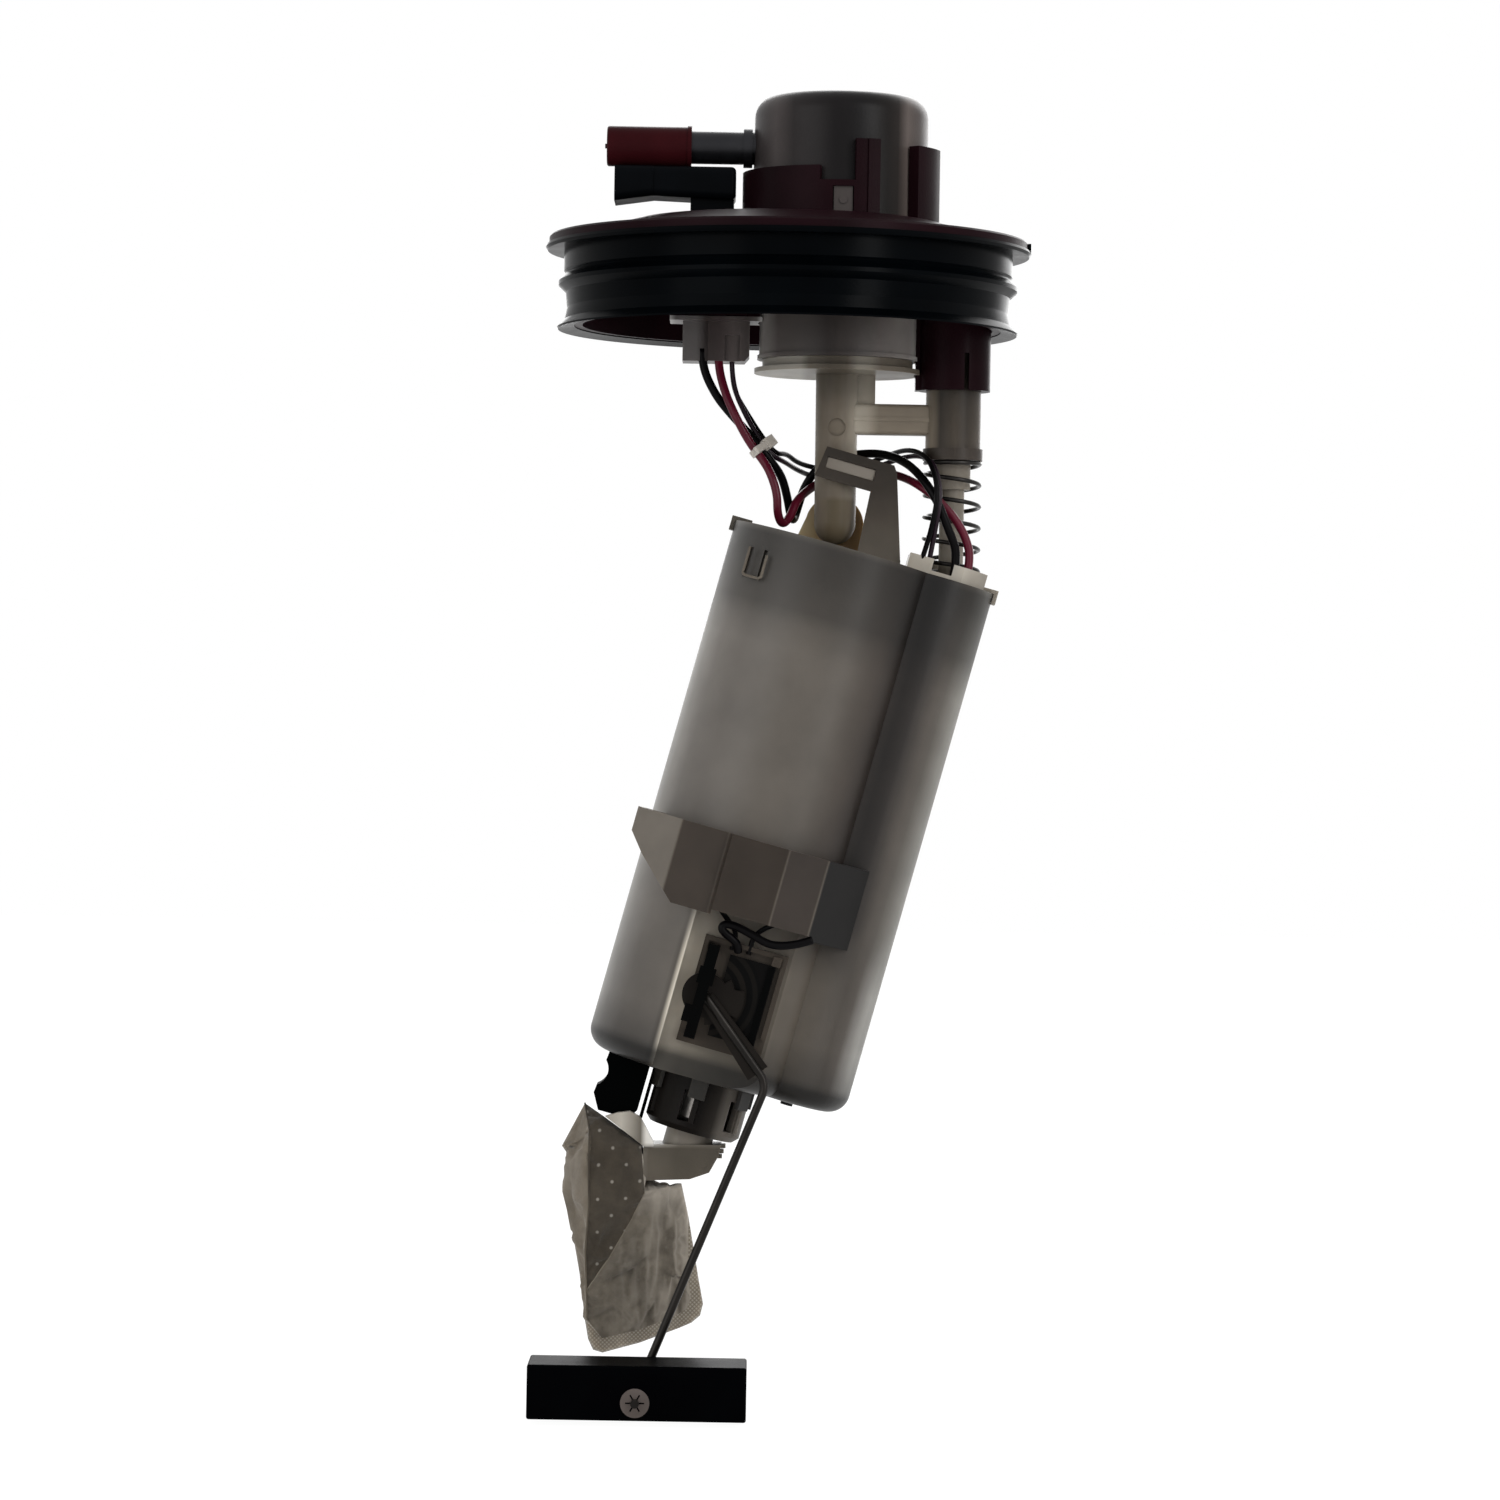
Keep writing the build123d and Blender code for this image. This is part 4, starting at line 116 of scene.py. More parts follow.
def spread(tree, source, low, high):
    """A 0 to 1 value mapped to a range."""
    node = tree.nodes.new("ShaderNodeMapRange")
    node.inputs["To Min"].default_value = low
    node.inputs["To Max"].default_value = high
    tree.links.new(source, node.inputs["Value"])
    return node.outputs["Result"]


def bump(tree, shader, height, strength, distance):
    node = tree.nodes.new("ShaderNodeBump")
    node.inputs["Strength"].default_value = strength
    node.inputs["Distance"].default_value = distance
    tree.links.new(height, node.inputs["Height"])
    tree.links.new(node.outputs["Normal"], shader.inputs["Normal"])


def measure(tree, direction, start, end):
    """How far a surface point lies along a direction, as 0 at start to 1 at end, in metres."""
    coords = tree.nodes.new("ShaderNodeTexCoord")
    along = tree.nodes.new("ShaderNodeVectorMath")
    along.operation = "DOT_PRODUCT"
    along.inputs[1].default_value = direction
    scale = tree.nodes.new("ShaderNodeMapRange")
    scale.inputs["From Min"].default_value = start
    scale.inputs["From Max"].default_value = end
    tree.links.new(coords.outputs["Object"], along.inputs[0])
    tree.links.new(along.outputs["Value"], scale.inputs["Value"])
    return scale.outputs["Result"]


def multiply(tree, first, second):
    node = tree.nodes.new("ShaderNodeMix")
    node.data_type = "RGBA"
    node.blend_type = "MULTIPLY"
    node.inputs["Factor"].default_value = 1.0
    tree.links.new(first, node.inputs["A"])
    tree.links.new(second, node.inputs["B"])
    return node.outputs["Result"]


def mixed(tree, share, first, second):
    node = tree.nodes.new("ShaderNodeMix")
    node.data_type = "RGBA"
    tree.links.new(share, node.inputs["Factor"])
    tree.links.new(first, node.inputs["A"])
    tree.links.new(second, node.inputs["B"])
    return node.outputs["Result"]


def mottle(tree, low="dcdcdc"):
    """Faint clouding of moulded plastic, as a factor."""
    cloud = noise(tree, 55, 4)
    return ramp(tree, cloud.outputs["Fac"], [(0.3, low), (0.7, "ffffff")]).outputs["Color"]


def finish_plastic(tree, shader, rough, gloss, grain, subsurface):
    """Gloss that wanders a little and a fine moulded grain."""
    drift = noise(tree, 70, 3)
    fine = noise(tree, 1500, 2)
    tree.links.new(spread(tree, drift.outputs["Fac"], rough - 0.07, rough + 0.1), shader.inputs["Roughness"])
    shader.inputs["Specular IOR Level"].default_value = gloss
    bump(tree, shader, fine.outputs["Fac"], grain, 0.0002)
    if subsurface:
        shader.inputs["Subsurface Weight"].default_value = subsurface
        shader.inputs["Subsurface Radius"].default_value = (1.0, 0.9, 0.8)
        shader.inputs["Subsurface Scale"].default_value = 0.003


def plastic(name, dark, light, rough=0.4, grain=0.15, gloss=0.25, subsurface=0.0):
    """Moulded plastic of one colour, with a slight drift."""
    material, tree, shader = new_material(name)
    cloud = noise(tree, 45, 3)
    colour = ramp(tree, cloud.outputs["Fac"], [(0.3, dark), (0.7, light)])
    tree.links.new(colour.outputs["Color"], shader.inputs["Base Color"])
    finish_plastic(tree, shader, rough, gloss, grain, subsurface)
    return material


def painted_shading(name, direction, start, end, stops, rough=0.4, grain=0.1, gloss=0.25, subsurface=0.3):
    """Natural plastic whose tone changes across it: painted light and shade, as a ramp of tones along one
    direction.
    """
    material, tree, shader = new_material(name)
    place = measure(tree, direction, start, end)
    tone = ramp(tree, place, stops).outputs["Color"]
    tree.links.new(multiply(tree, tone, mottle(tree)), shader.inputs["Base Color"])
    finish_plastic(tree, shader, rough, gloss, grain, subsurface)
    return material


METAL_GRAIN = 700
METAL_GLOSS = 0.5


def metal(name, dark, light, rough=0.35, brushed=(1, 1, 1), metallic=1.0, grain=0.1):
    """Metal with fine drawn or cast texture."""
    material, tree, shader = new_material(name)
    lines = noise(tree, METAL_GRAIN, 4, 0.6, brushed)
    drift = noise(tree, 60, 3)
    colour = ramp(tree, drift.outputs["Fac"], [(0.3, dark), (0.7, light)])
    tree.links.new(colour.outputs["Color"], shader.inputs["Base Color"])
    tree.links.new(spread(tree, lines.outputs["Fac"], rough - 0.1, rough + 0.12), shader.inputs["Roughness"])
    shader.inputs["Metallic"].default_value = metallic
    shader.inputs["Specular IOR Level"].default_value = METAL_GLOSS
    bump(tree, shader, lines.outputs["Fac"], grain, 0.0001)
    return material


# Directions in the hung reservoir: across it and up along it, and where its own zero lies
LEAN = math.radians(15)
ACROSS = (math.cos(LEAN), 0, -math.sin(LEAN))
UP = (math.sin(LEAN), 0, math.cos(LEAN))
PIVOT = Vector((0.0148, 0, -0.078))
ACROSS_ZERO = PIVOT.dot(Vector(ACROSS))
UP_ZERO = PIVOT.dot(Vector(UP))


def shell_plastic(name):
    """Natural nylon shell with painted light and shade: a painted glow at both edges, painted shade in the
    crease and a painted shadow over the pump's top.
    """
    material, tree, shader = new_material(name)
    across = measure(tree, ACROSS, ACROSS_ZERO - 0.030, ACROSS_ZERO + 0.048)
    up = measure(tree, UP, UP_ZERO - 0.175, UP_ZERO)
    # The tone ramps across the upper and lower front and up the shell are painted light and shade.
    upper = [
        (0.0, "b9b7b2"), (0.05, "918d87"), (0.1, "7a756f"), (0.18, "6d6862"), (0.385, "655f58"),
        (0.565, "5c564f"), (0.68, "463f39"), (0.745, "2a2420"), (0.795, "1b1715"), (0.85, "231e1b"),
        (0.88, "37312c"), (0.92, "57514b"), (0.95, "605b55"), (1.0, "838079"),
    ]
    lower = [
        (0.0, "b4b2ad"), (0.06, "827e79"), (0.12, "6e6963"), (0.25, "645e57"), (0.268, "4e4841"),
        (0.285, "e2d9c8"), (0.33, "d3c9b8"), (0.38, "a79e8f"), (0.46, "938b7d"), (0.6, "857d70"),
        (0.69, "5f584f"), (0.78, "5f584f"), (0.85, "57514a"), (0.9, "4e4841"), (0.94, "5c5650"),
        (0.975, "8f8c87"), (1.0, "b5b3ae"),
    ]
    along = [
        (0.0, "3a3a3a"), (0.085, "565656"), (0.1, "b4b4b4"), (0.16, "efefef"), (0.45, "efefef"),
        (0.66, "f8f8f8"), (0.775, "ffffff"), (0.815, "dedede"), (0.84, "b0b0b0"), (0.92, "909090"),
        (0.95, "888888"), (0.972, "f0f0f0"),
    ]
    low_share = ramp(tree, up, [(0.26, "ffffff"), (0.36, "000000")]).outputs["Color"]
    depth = measure(tree, (0, 1, 0), -0.012, -0.004)
    front = ramp(tree, depth, [(0.0, "ffffff"), (1.0, "000000")]).outputs["Color"]
    low_share = multiply(tree, low_share, front)
    high_tone = ramp(tree, across, upper).outputs["Color"]
    low_tone = ramp(tree, across, lower).outputs["Color"]
    tone = mixed(tree, low_share, high_tone, low_tone)
    tone = multiply(tree, tone, ramp(tree, up, along).outputs["Color"])
    tree.links.new(multiply(tree, tone, mottle(tree, "e4e4e4")), shader.inputs["Base Color"])
    finish_plastic(tree, shader, 0.38, 0.25, 0.08, 0.3)
    return material


def shield_plastic(name):
    """Folded natural sheet with painted light: each flat has its own painted shade, the one facing right
    darkest, and each fold is a thin painted highlight.
    """
    material, tree, shader = new_material(name)
    across = measure(tree, ACROSS, ACROSS_ZERO - 0.032, ACROSS_ZERO + 0.037)
    folds = [-18.5, -4.6, 13.3, 24.9]
    flat_shades = ["6d675f", "3d3630", "362f29", "3a332e", "0e0c0b"]
    stops = [(0.0, flat_shades[0])]
    for fold, before, after in zip(folds, flat_shades, flat_shades[1:]):
        place = (fold + 32) / 69
        # Each fold is a thin painted highlight between the painted shades of its two flats.
        stops += [(place - 0.006, before), (place, "5a534b"), (place + 0.006, after)]
    tone = ramp(tree, across, stops).outputs["Color"]
    tree.links.new(multiply(tree, tone, mottle(tree)), shader.inputs["Base Color"])
    finish_plastic(tree, shader, 0.36, 0.15, 0.08, 0.3)
    return material


def manifold_plastic(name):
    """Ivory nylon with painted light: painted highlight streaks down the tube and post, a painted glow at the
    tube's tip and the post's foot, and painted shade between.
    """
    material, tree, shader = new_material(name)
    side = measure(tree, (1, 0, 0), 0.004, 0.059)
    tall = measure(tree, (0, 0, 1), -0.132, -0.033)
    # Painted highlight streaks across the tube and post, with painted shade between them.
    tone = [
        (0.0, "c3bdb1"), (0.04, "8c8476"), (0.15, "6e6559"), (0.24, "776e61"), (0.3, "b1a99b"),
        (0.36, "a9a193"), (0.42, "857b6d"), (0.7, "857b6d"), (0.74, "39332d"), (0.82, "4a433b"),
        (0.88, "3c3630"), (0.95, "524b43"), (1.0, "a39e95"),
    ]
    along = [
        (0.0, "d6d0c4"), (0.4, "ffffff"), (0.75, "ffffff"), (0.87, "f0f0f0"), (0.93, "c9c9c9"),
        (1.0, "c4c4c4"),
    ]
    # Painted glow on the tube's low tip.
    low_tip = [
        (0.0, "d6cebf"), (0.09, "81776a"), (0.16, "5f5544"), (0.24, "645a49"), (0.3, "8b8173"),
        (0.34, "d0c8bb"),
    ]
    # Painted glow on the post's foot.
    foot_tone = [(0.0, "9a9489"), (0.6, "8d867b"), (0.76, "6d665c"), (1.0, "6d665c")]
    foot = ramp(tree, tall, foot_tone).outputs["Color"]
    base = multiply(tree, ramp(tree, side, tone).outputs["Color"], ramp(tree, tall, along).outputs["Color"])
    on_post = ramp(tree, side, [(0.66, "000000"), (0.68, "ffffff")]).outputs["Color"]
    on_tube = ramp(tree, side, [(0.36, "ffffff"), (0.38, "000000")]).outputs["Color"]
    below = ramp(tree, tall, [(0.755, "ffffff"), (0.765, "000000")]).outputs["Color"]
    capped = ramp(tree, tall, [(0.61, "ffffff"), (0.625, "000000")]).outputs["Color"]
    base = mixed(tree, multiply(tree, on_post, below), base, foot)
    base = mixed(tree, multiply(tree, on_tube, capped), base, ramp(tree, side, low_tip).outputs["Color"])
    tree.links.new(multiply(tree, base, mottle(tree)), shader.inputs["Base Color"])
    finish_plastic(tree, shader, 0.4, 0.12, 0.08, 0.35)
    return material


def track_board(name, centre):
    """Dark ceramic board with printed arcs round the float's axle."""
    material, tree, shader = new_material(name)
    coords = tree.nodes.new("ShaderNodeTexCoord")
    flat = tree.nodes.new("ShaderNodeVectorMath")
    flat.operation = "MULTIPLY"
    flat.inputs[1].default_value = (1, 0, 1)
    away = tree.nodes.new("ShaderNodeVectorMath")
    away.operation = "DISTANCE"
    away.inputs[1].default_value = (centre[0], 0, centre[2])
    scale = tree.nodes.new("ShaderNodeMapRange")
    scale.inputs["From Max"].default_value = 0.02
    tree.links.new(coords.outputs["Object"], flat.inputs[0])
    tree.links.new(flat.outputs[0], away.inputs[0])
    tree.links.new(away.outputs["Value"], scale.inputs["Value"])
    stops = [
        (0.0, "0b0908"), (0.44, "0f0d0b"), (0.45, "010101"), (0.51, "010101"), (0.52, "15120f"),
        (0.59, "15120f"), (0.60, "010101"), (0.68, "010101"), (0.69, "0e0c0a"), (0.75, "0e0c0a"),
        (0.76, "010101"), (0.8, "010101"), (0.81, "040303"), (1.0, "020202"),
    ]
    tree.links.new(ramp(tree, scale.outputs["Result"], stops).outputs["Color"], shader.inputs["Base Color"])
    finish_plastic(tree, shader, 0.4, 0.06, 0.1, 0)
    return material


def fitting_plastic(name):
    """Ivory elbow with painted light: a painted glow at the neck and at the end under the bag, and painted
    shade along the level arm.
    """
    material, tree, shader = new_material(name)
    side = measure(tree, (1, 0, 0), -0.052, -0.012)
    tall = measure(tree, (0, 0, 1), -0.275, -0.245)
    arm = [
        (0.0, "b9b5ac"), (0.2, "d5d2cb"), (0.32, "a39d92"), (0.4, "665f54"), (0.6, "4f493f"), (0.9, "4d473e"),
        (1.0, "6b655c"),
    ]
    neck = [
        (0.0, "8f887d"), (0.2, "b9b3a8"), (0.34, "6b655b"), (0.38, "e2ded6"), (0.44, "efece5"),
        (0.52, "b3ada2"), (0.62, "7d766c"), (1.0, "6b655c"),
    ]
    high = ramp(tree, tall, [(0.5, "000000"), (0.56, "ffffff")]).outputs["Color"]
    tone = mixed(tree, high, ramp(tree, side, arm).outputs["Color"], ramp(tree, side, neck).outputs["Color"])
    tree.links.new(multiply(tree, tone, mottle(tree)), shader.inputs["Base Color"])
    finish_plastic(tree, shader, 0.4, 0.2, 0.1, 0.35)
    return material


DOT_START = (0.0502, 0, 0.2548)


def bag_fabric(name, dark, light, dots, painted_highlights=False, pitch=(0.00792, 0.0096), spot_r=0.0006):
    """Fine filter weave with a staggered grid of small pressed dots, and where asked, painted wispy
    highlights and a painted glow.
    """
    material, tree, shader = new_material(name)
    coords = tree.nodes.new("ShaderNodeTexCoord")
    cloud = noise(tree, 130, 5, 0.6)
    tone = ramp(tree, cloud.outputs["Fac"], [(0.3, dark), (0.7, light)]).outputs["Color"]
    if painted_highlights:
        # Painted light: wispy painted highlights that grow brighter towards the right, a painted glow along
        # one edge and a painted glow at the top.
        sheen_noise = noise(tree, 190, 2, 0.45, (1.0, 1.0, 0.2))
        sheen_tone = [(0.43, "000000"), (0.56, "a6a6a6"), (0.69, "000000")]
        sheen_streaks = ramp(tree, sheen_noise.outputs["Fac"], sheen_tone).outputs["Color"]
        side = measure(tree, (1, 0, 0), -0.054, -0.020)
        right = ramp(tree, side, [(0.1, "101010"), (0.4, "b0b0b0"), (0.8, "ffffff")])
        bright = ramp(tree, cloud.outputs["Fac"], [(0.0, "a39b8f"), (1.0, "bdb5a9")]).outputs["Color"]
        tone = mixed(tree, multiply(tree, sheen_streaks, right.outputs["Color"]), tone, bright)
        edge = measure(tree, (0.985, 0, 0.174), -0.0772, -0.0702)
        glow_tone = [(0.0, "000000"), (0.45, "3a3a3a"), (0.8, "dddddd"), (1.0, "ffffff")]
        glow = ramp(tree, edge, glow_tone).outputs["Color"]
        lit = ramp(tree, cloud.outputs["Fac"], [(0.0, "c9c0b3"), (1.0, "ded5c8")]).outputs["Color"]
        tone = mixed(tree, glow, tone, lit)
        top = measure(tree, (0, 0, 1), -0.2800, -0.2715)
        tone = mixed(tree, ramp(tree, top, [(0.0, "000000"), (1.0, "cccccc")]).outputs["Color"], tone, bright)
    rows = []
    half = (pitch[0] / 2, 0, pitch[1] / 2)
    for start in (DOT_START, (DOT_START[0] + half[0], 0, DOT_START[2] + half[2])):
        moved = tree.nodes.new("ShaderNodeVectorMath")
        moved.operation = "ADD"
        moved.inputs[1].default_value = (start[0] + half[0], 0, start[2] + half[2])
        wrapped = tree.nodes.new("ShaderNodeVectorMath")
        wrapped.operation = "WRAP"
        wrapped.inputs[1].default_value = (pitch[0], 1, pitch[1])
        wrapped.inputs[2].default_value = (0, 0, 0)
        flat = tree.nodes.new("ShaderNodeVectorMath")
        flat.operation = "MULTIPLY"
        flat.inputs[1].default_value = (1, 0, 1)
        away = tree.nodes.new("ShaderNodeVectorMath")
        away.operation = "DISTANCE"
        away.inputs[1].default_value = half
        tree.links.new(coords.outputs["Object"], moved.inputs[0])
        tree.links.new(moved.outputs[0], wrapped.inputs[0])
        tree.links.new(wrapped.outputs[0], flat.inputs[0])
        tree.links.new(flat.outputs[0], away.inputs[0])
        rows.append(away.outputs["Value"])
    near = tree.nodes.new("ShaderNodeMath")
    near.operation = "MINIMUM"
    tree.links.new(rows[0], near.inputs[0])
    tree.links.new(rows[1], near.inputs[1])
    spot = tree.nodes.new("ShaderNodeMapRange")
    spot.inputs["From Min"].default_value = spot_r * 0.4
    spot.inputs["From Max"].default_value = spot_r
    spot.inputs["To Min"].default_value = dots
    spot.inputs["To Max"].default_value = 0.0
    tree.links.new(near.outputs[0], spot.inputs["Value"])
    pale = ramp(tree, cloud.outputs["Fac"], [(0.0, "a8a298"), (1.0, "c0bab0")]).outputs["Color"]
    tree.links.new(mixed(tree, spot.outputs["Result"], tone, pale), shader.inputs["Base Color"])
    weave = noise(tree, 2600, 2, 0.7)
    crumple = noise(tree, 260, 4, 0.6)
    height = tree.nodes.new("ShaderNodeMath")
    height.operation = "ADD"
    tree.links.new(spread(tree, weave.outputs["Fac"], 0, 0.25), height.inputs[0])
    tree.links.new(spread(tree, crumple.outputs["Fac"], 0, 1), height.inputs[1])
    bump(tree, shader, height.outputs[0], 0.55, 0.0006)
    shader.inputs["Roughness"].default_value = 0.85
    shader.inputs["Specular IOR Level"].default_value = 0.2
    shader.inputs["Sheen Weight"].default_value = 0.15
    shader.inputs["Subsurface Weight"].default_value = 0.25
    shader.inputs["Subsurface Radius"].default_value = (1.0, 0.9, 0.8)
    shader.inputs["Subsurface Scale"].default_value = 0.002
    return material


AXLE_PLACE = (-0.020409, -0.03, -0.21423)

MATERIALS = {
    "flange": plastic("maroon_plastic", "120609", "1c0b10", 0.34, 0.2, 0.03),
    "seal": plastic("seal_rubber", "010203", "030507", 0.22, 0.06, 0.02),
    # Painted light and shade: painted highlight streaks at the left and near the right, painted shade in the
    # middle.
    "can": painted_shading(
        "canister_grey", (1, 0, 0), -0.0103, 0.0399,
        [
            (0.0, "2a2626"), (0.12, "4a4443"), (0.22, "262222"), (0.45, "120f10"), (0.62, "0f0d0e"),
            (0.76, "15110f"), (0.82, "241f1d"), (0.875, "5f5652"), (0.94, "48403d"), (1.0, "4c4644"),
        ],
        rough=0.36, grain=0.15, gloss=0.12, subsurface=0,
    ),
    "paper": plastic("filter_paper", "8b7f66", "9a8e74", 0.85, 0.5),
    "rubber": plastic("black_rubber", "070707", "0e0e0e", 0.6, 0.3, 0.2),
    "steel": metal("bright_steel", "6e6a66", "8a8682", 0.3, metallic=0.8),
    "clip": metal("clip_steel", "2e2826", "3d3634", 0.45, metallic=0.4),
    "tube": metal("tube_steel", "1c1c1f", "29292c", 0.34, brushed=(0.06, 1, 1), metallic=0.7, grain=0.2),
    "cap": plastic("cap_red", "26090c", "340e12", 0.34, 0.08, 0.03),
    "connector": plastic("connector_black", "040506", "080a0d", 0.38, 0.15, 0.02),
    "terminal": metal("terminal_brass", "7a6c45", "94855a", 0.3),
    # Painted light and shade: painted highlights at both edges, darker between.
    "inner": painted_shading(
        "connector_pale", (1, 0, 0), -0.0345, -0.0075,
        [
            (0.0, "a5a3a1"), (0.08, "565251"), (0.3, "5b5756"), (0.4, "332b29"), (0.55, "3d3332"),
            (0.7, "514947"), (0.85, "3f3836"), (0.95, "5f5956"), (1.0, "b5b3b0"),
        ],
    ),
    # Painted shade under the skirt on a white cup, with painted light at both edges.
    "cup": painted_shading(
        "cup_white", (1, 0, 0), -0.010, 0.0375,
        [
            (0.0, "d8d6d2"), (0.05, "8a8682"), (0.15, "4c4643"), (0.45, "2d2725"), (0.7, "4a4441"),
            (0.85, "6f6965"), (0.95, "8a8480"), (1.0, "a9a6a2"),
        ],
    ),
    "manifold": manifold_plastic("manifold_ivory"),
    "ring": plastic("ring_natural", "322c27", "403933", 0.4, 0.1, 0.15, 0.3),
    "spring": metal("spring_steel", "1d1b1a", "2b2927", 0.3, metallic=0.8),
    "wire_black": plastic("wire_black", "040304", "070607", 0.3, 0.08, 0.06),
    "wire_red": plastic("wire_red", "430819", "560d22", 0.3, 0.08, 0.2),
    "wire_purple": plastic("wire_purple", "12060f", "1d0b19", 0.3, 0.08, 0.2),
    "nylon": plastic("white_nylon", "a8a29a", "bbb5ad", 0.35, 0.1, 0.3, 0.3),
    "shell": shell_plastic("reservoir_natural"),
    # Painted light and shade: darker at the left, painted light towards the right.
    "lid": painted_shading(
        "lid_natural", ACROSS, ACROSS_ZERO - 0.034, ACROSS_ZERO + 0.048,
        [
            (0.0, "4c473f"), (0.3, "5c564d"), (0.6, "857e73"), (0.72, "b0a99d"), (0.9, "b5aea2"),
            (1.0, "8a8378"),
        ],
    ),
    # Painted light and shade: lighter at the left edge, darker towards the right, with a lighter right edge.
    "socket": painted_shading(
        "socket_amber", ACROSS, ACROSS_ZERO - 0.0125, ACROSS_ZERO + 0.0125,
        [
            (0.0, "dccda6"), (0.2, "cbb892"), (0.5, "b89a6b"), (0.8, "a9895c"), (1.0, "c9ab7a"),
        ],
        rough=0.36, gloss=0.2, subsurface=0.5,
    ),
    # Painted shade: the white bracket coloured dark, darkest at its top web and lighter lower down.
    "bracket": painted_shading(
        "bracket_white", UP, UP_ZERO - 0.008, UP_ZERO + 0.02,
        [(0.0, "666057"), (0.45, "4c453d"), (0.75, "37312b"), (1.0, "2d2823")], gloss=0.15,
    ),
    "hose": plastic("hose_black", "0c0c0c", "131313", 0.5, 0.3),
    # Painted light and shade: painted bright edges at both sides, dark between.
    "end_cap": painted_shading(
        "end_cap_grey", ACROSS, ACROSS_ZERO - 0.016, ACROSS_ZERO + 0.016,
        [
            (0.0, "4a4541"), (0.08, "2b2724"), (0.16, "110e0c"), (0.5, "15120f"), (0.8, "13100e"),
            (0.93, "2b2723"), (1.0, "5b5650"),
        ],
        gloss=0.06,
    ),
    "bumper": plastic("bumper_rubber", "010202", "020303", 0.5, 0.2, 0.01),
    "shield": shield_plastic("shield_natural"),
    # Painted shade: the white sender frame is coloured dark, standing in for the shade it lies in.
    "sender": plastic("sender_white", "2f2a25", "3e3730", 0.4, 0.1, 0.1, 0.2),
    # Painted shade: the natural rotor is coloured dark brown-grey because it lies in shade.
    "rotor": plastic("rotor_grey", "13100e", "1c1916", 0.4, 0.1, 0.05),
    "bright": plastic("bright_nylon", "6b645b", "807970", 0.4, 0.1, 0.2, 0.3),
    "latch": plastic("latch_nylon", "544e46", "645d54", 0.4, 0.1, 0.12, 0.3),
    "board": track_board("board_ceramic", AXLE_PLACE),
    "strap": plastic("strap_black", "010202", "030303", 0.2, 0.1, 0.03),
    "arm": metal("arm_wire", "151311", "24211e", 0.3, brushed=(1, 1, 0.06), metallic=0.8),
    "float": plastic("float_foam", "010102", "020304", 0.4, 0.5, 0.01),
    "washer": metal("washer_steel", "4e4642", "5e5551", 0.45, metallic=0.6),
    "fitting": fitting_plastic("fitting_white"),
    # The bag's felt panels are copies of one cloth whose tones differ as painted light and shade: the flap
    # darkest, the left panel lightest.
    "felt": bag_fabric("sock_felt", "332d25", "463f35", 0.45),
    "felt_left": bag_fabric("sock_felt_left", "645c50", "7d7467", 0.0),
    "felt_low": bag_fabric("sock_felt_low", "443e36", "6c655a", 0.05, painted_highlights=True),
    "weld": bag_fabric("sock_weld", "5a5347", "7a7265", 0.4, pitch=(0.0012, 0.0012), spot_r=0.0004),
    "stitch": plastic("seam_thread", "2c2721", "6a6255", 0.8, 0.6),
    # Painted highlight on the edge of the bag's fold.
    "fold": plastic("fold_highlight", "696155", "7d7568", 0.8, 0.5),
}

DRESS = {
    "flange": "flange",
    "flange_seal": "seal",
    "filter_canister": "can",
    "filter_element": "paper",
    "canister_grommets": "rubber",
    "pressure_regulator": "steel",
    "outlet_nipple": "tube",
    "outlet_cap": "cap",
    "canister_clip": "clip",
    "harness_connector": "connector",
    "harness_terminals": "terminal",
    "inner_connector": "inner",
    "filter_cup": "cup",
    "feed_manifold": "manifold",
    "swivel_oring": "rubber",
    "spring_ring": "ring",
    "return_spring": "spring",
    "pump_lead_black": "wire_black",
    "pump_lead_red": "wire_red",
    "sender_lead_purple": "wire_purple",
    "sender_lead_black": "wire_black",
    "cable_tie": "nylon",
    "reservoir": "shell",
    "reservoir_lid": "lid",
    "swivel_socket": "socket",
    "swivel_bracket": "bracket",
    "pump_motor": "steel",
    "pump_isolator": "rubber",
    "feed_hose": "hose",
    "pump_end_cap": "end_cap",
    "inlet_valve": "rubber",
    "bumper": "bumper",
    "splash_shield": "shield",
    "sender_frame": "sender",
    "resistor_board": "board",
    "sender_bracket": "strap",
    "sender_rotor": "rotor",
    "wiper_contact": "terminal",
    "sender_inner_leads": "wire_black",
    "pump_inner_leads": "wire_red",
    "float_arm": "arm",
    "float_washer": "washer",
    "float": "float",
    "strainer_fitting": "fitting",
    "strainer_sock": "felt",
}


def dress(obj, material):
    if obj.material_slots:
        for slot in obj.material_slots:
            slot.link = "DATA"
            slot.material = material
    else:
        obj.data.materials.append(material)


for node_name, look in DRESS.items():
    dress(nodes[node_name], MATERIALS[look])


# Wires: one smooth line each, from the inner connector to the lid
def line_points(points, order=3):
    """Points along the smooth line that runs through a route's control points."""
    data = bpy.data.curves.new("line", "CURVE")
    data.dimensions = "3D"
    data.resolution_u = 8
    spline = data.splines.new("NURBS")
    spline.points.add(len(points) - 1)
    for target, point in zip(spline.points, points):
        target.co = (*[v * MM for v in point], 1.0)
    spline.order_u = order
    spline.use_endpoint_u = True
    obj = bpy.data.objects.new("line", data)
    bpy.context.collection.objects.link(obj)
    mesh = bpy.data.meshes.new_from_object(obj)
    found = [Vector(v.co) for v in mesh.vertices]
    bpy.data.objects.remove(obj)
    bpy.data.meshes.remove(mesh)
    return found


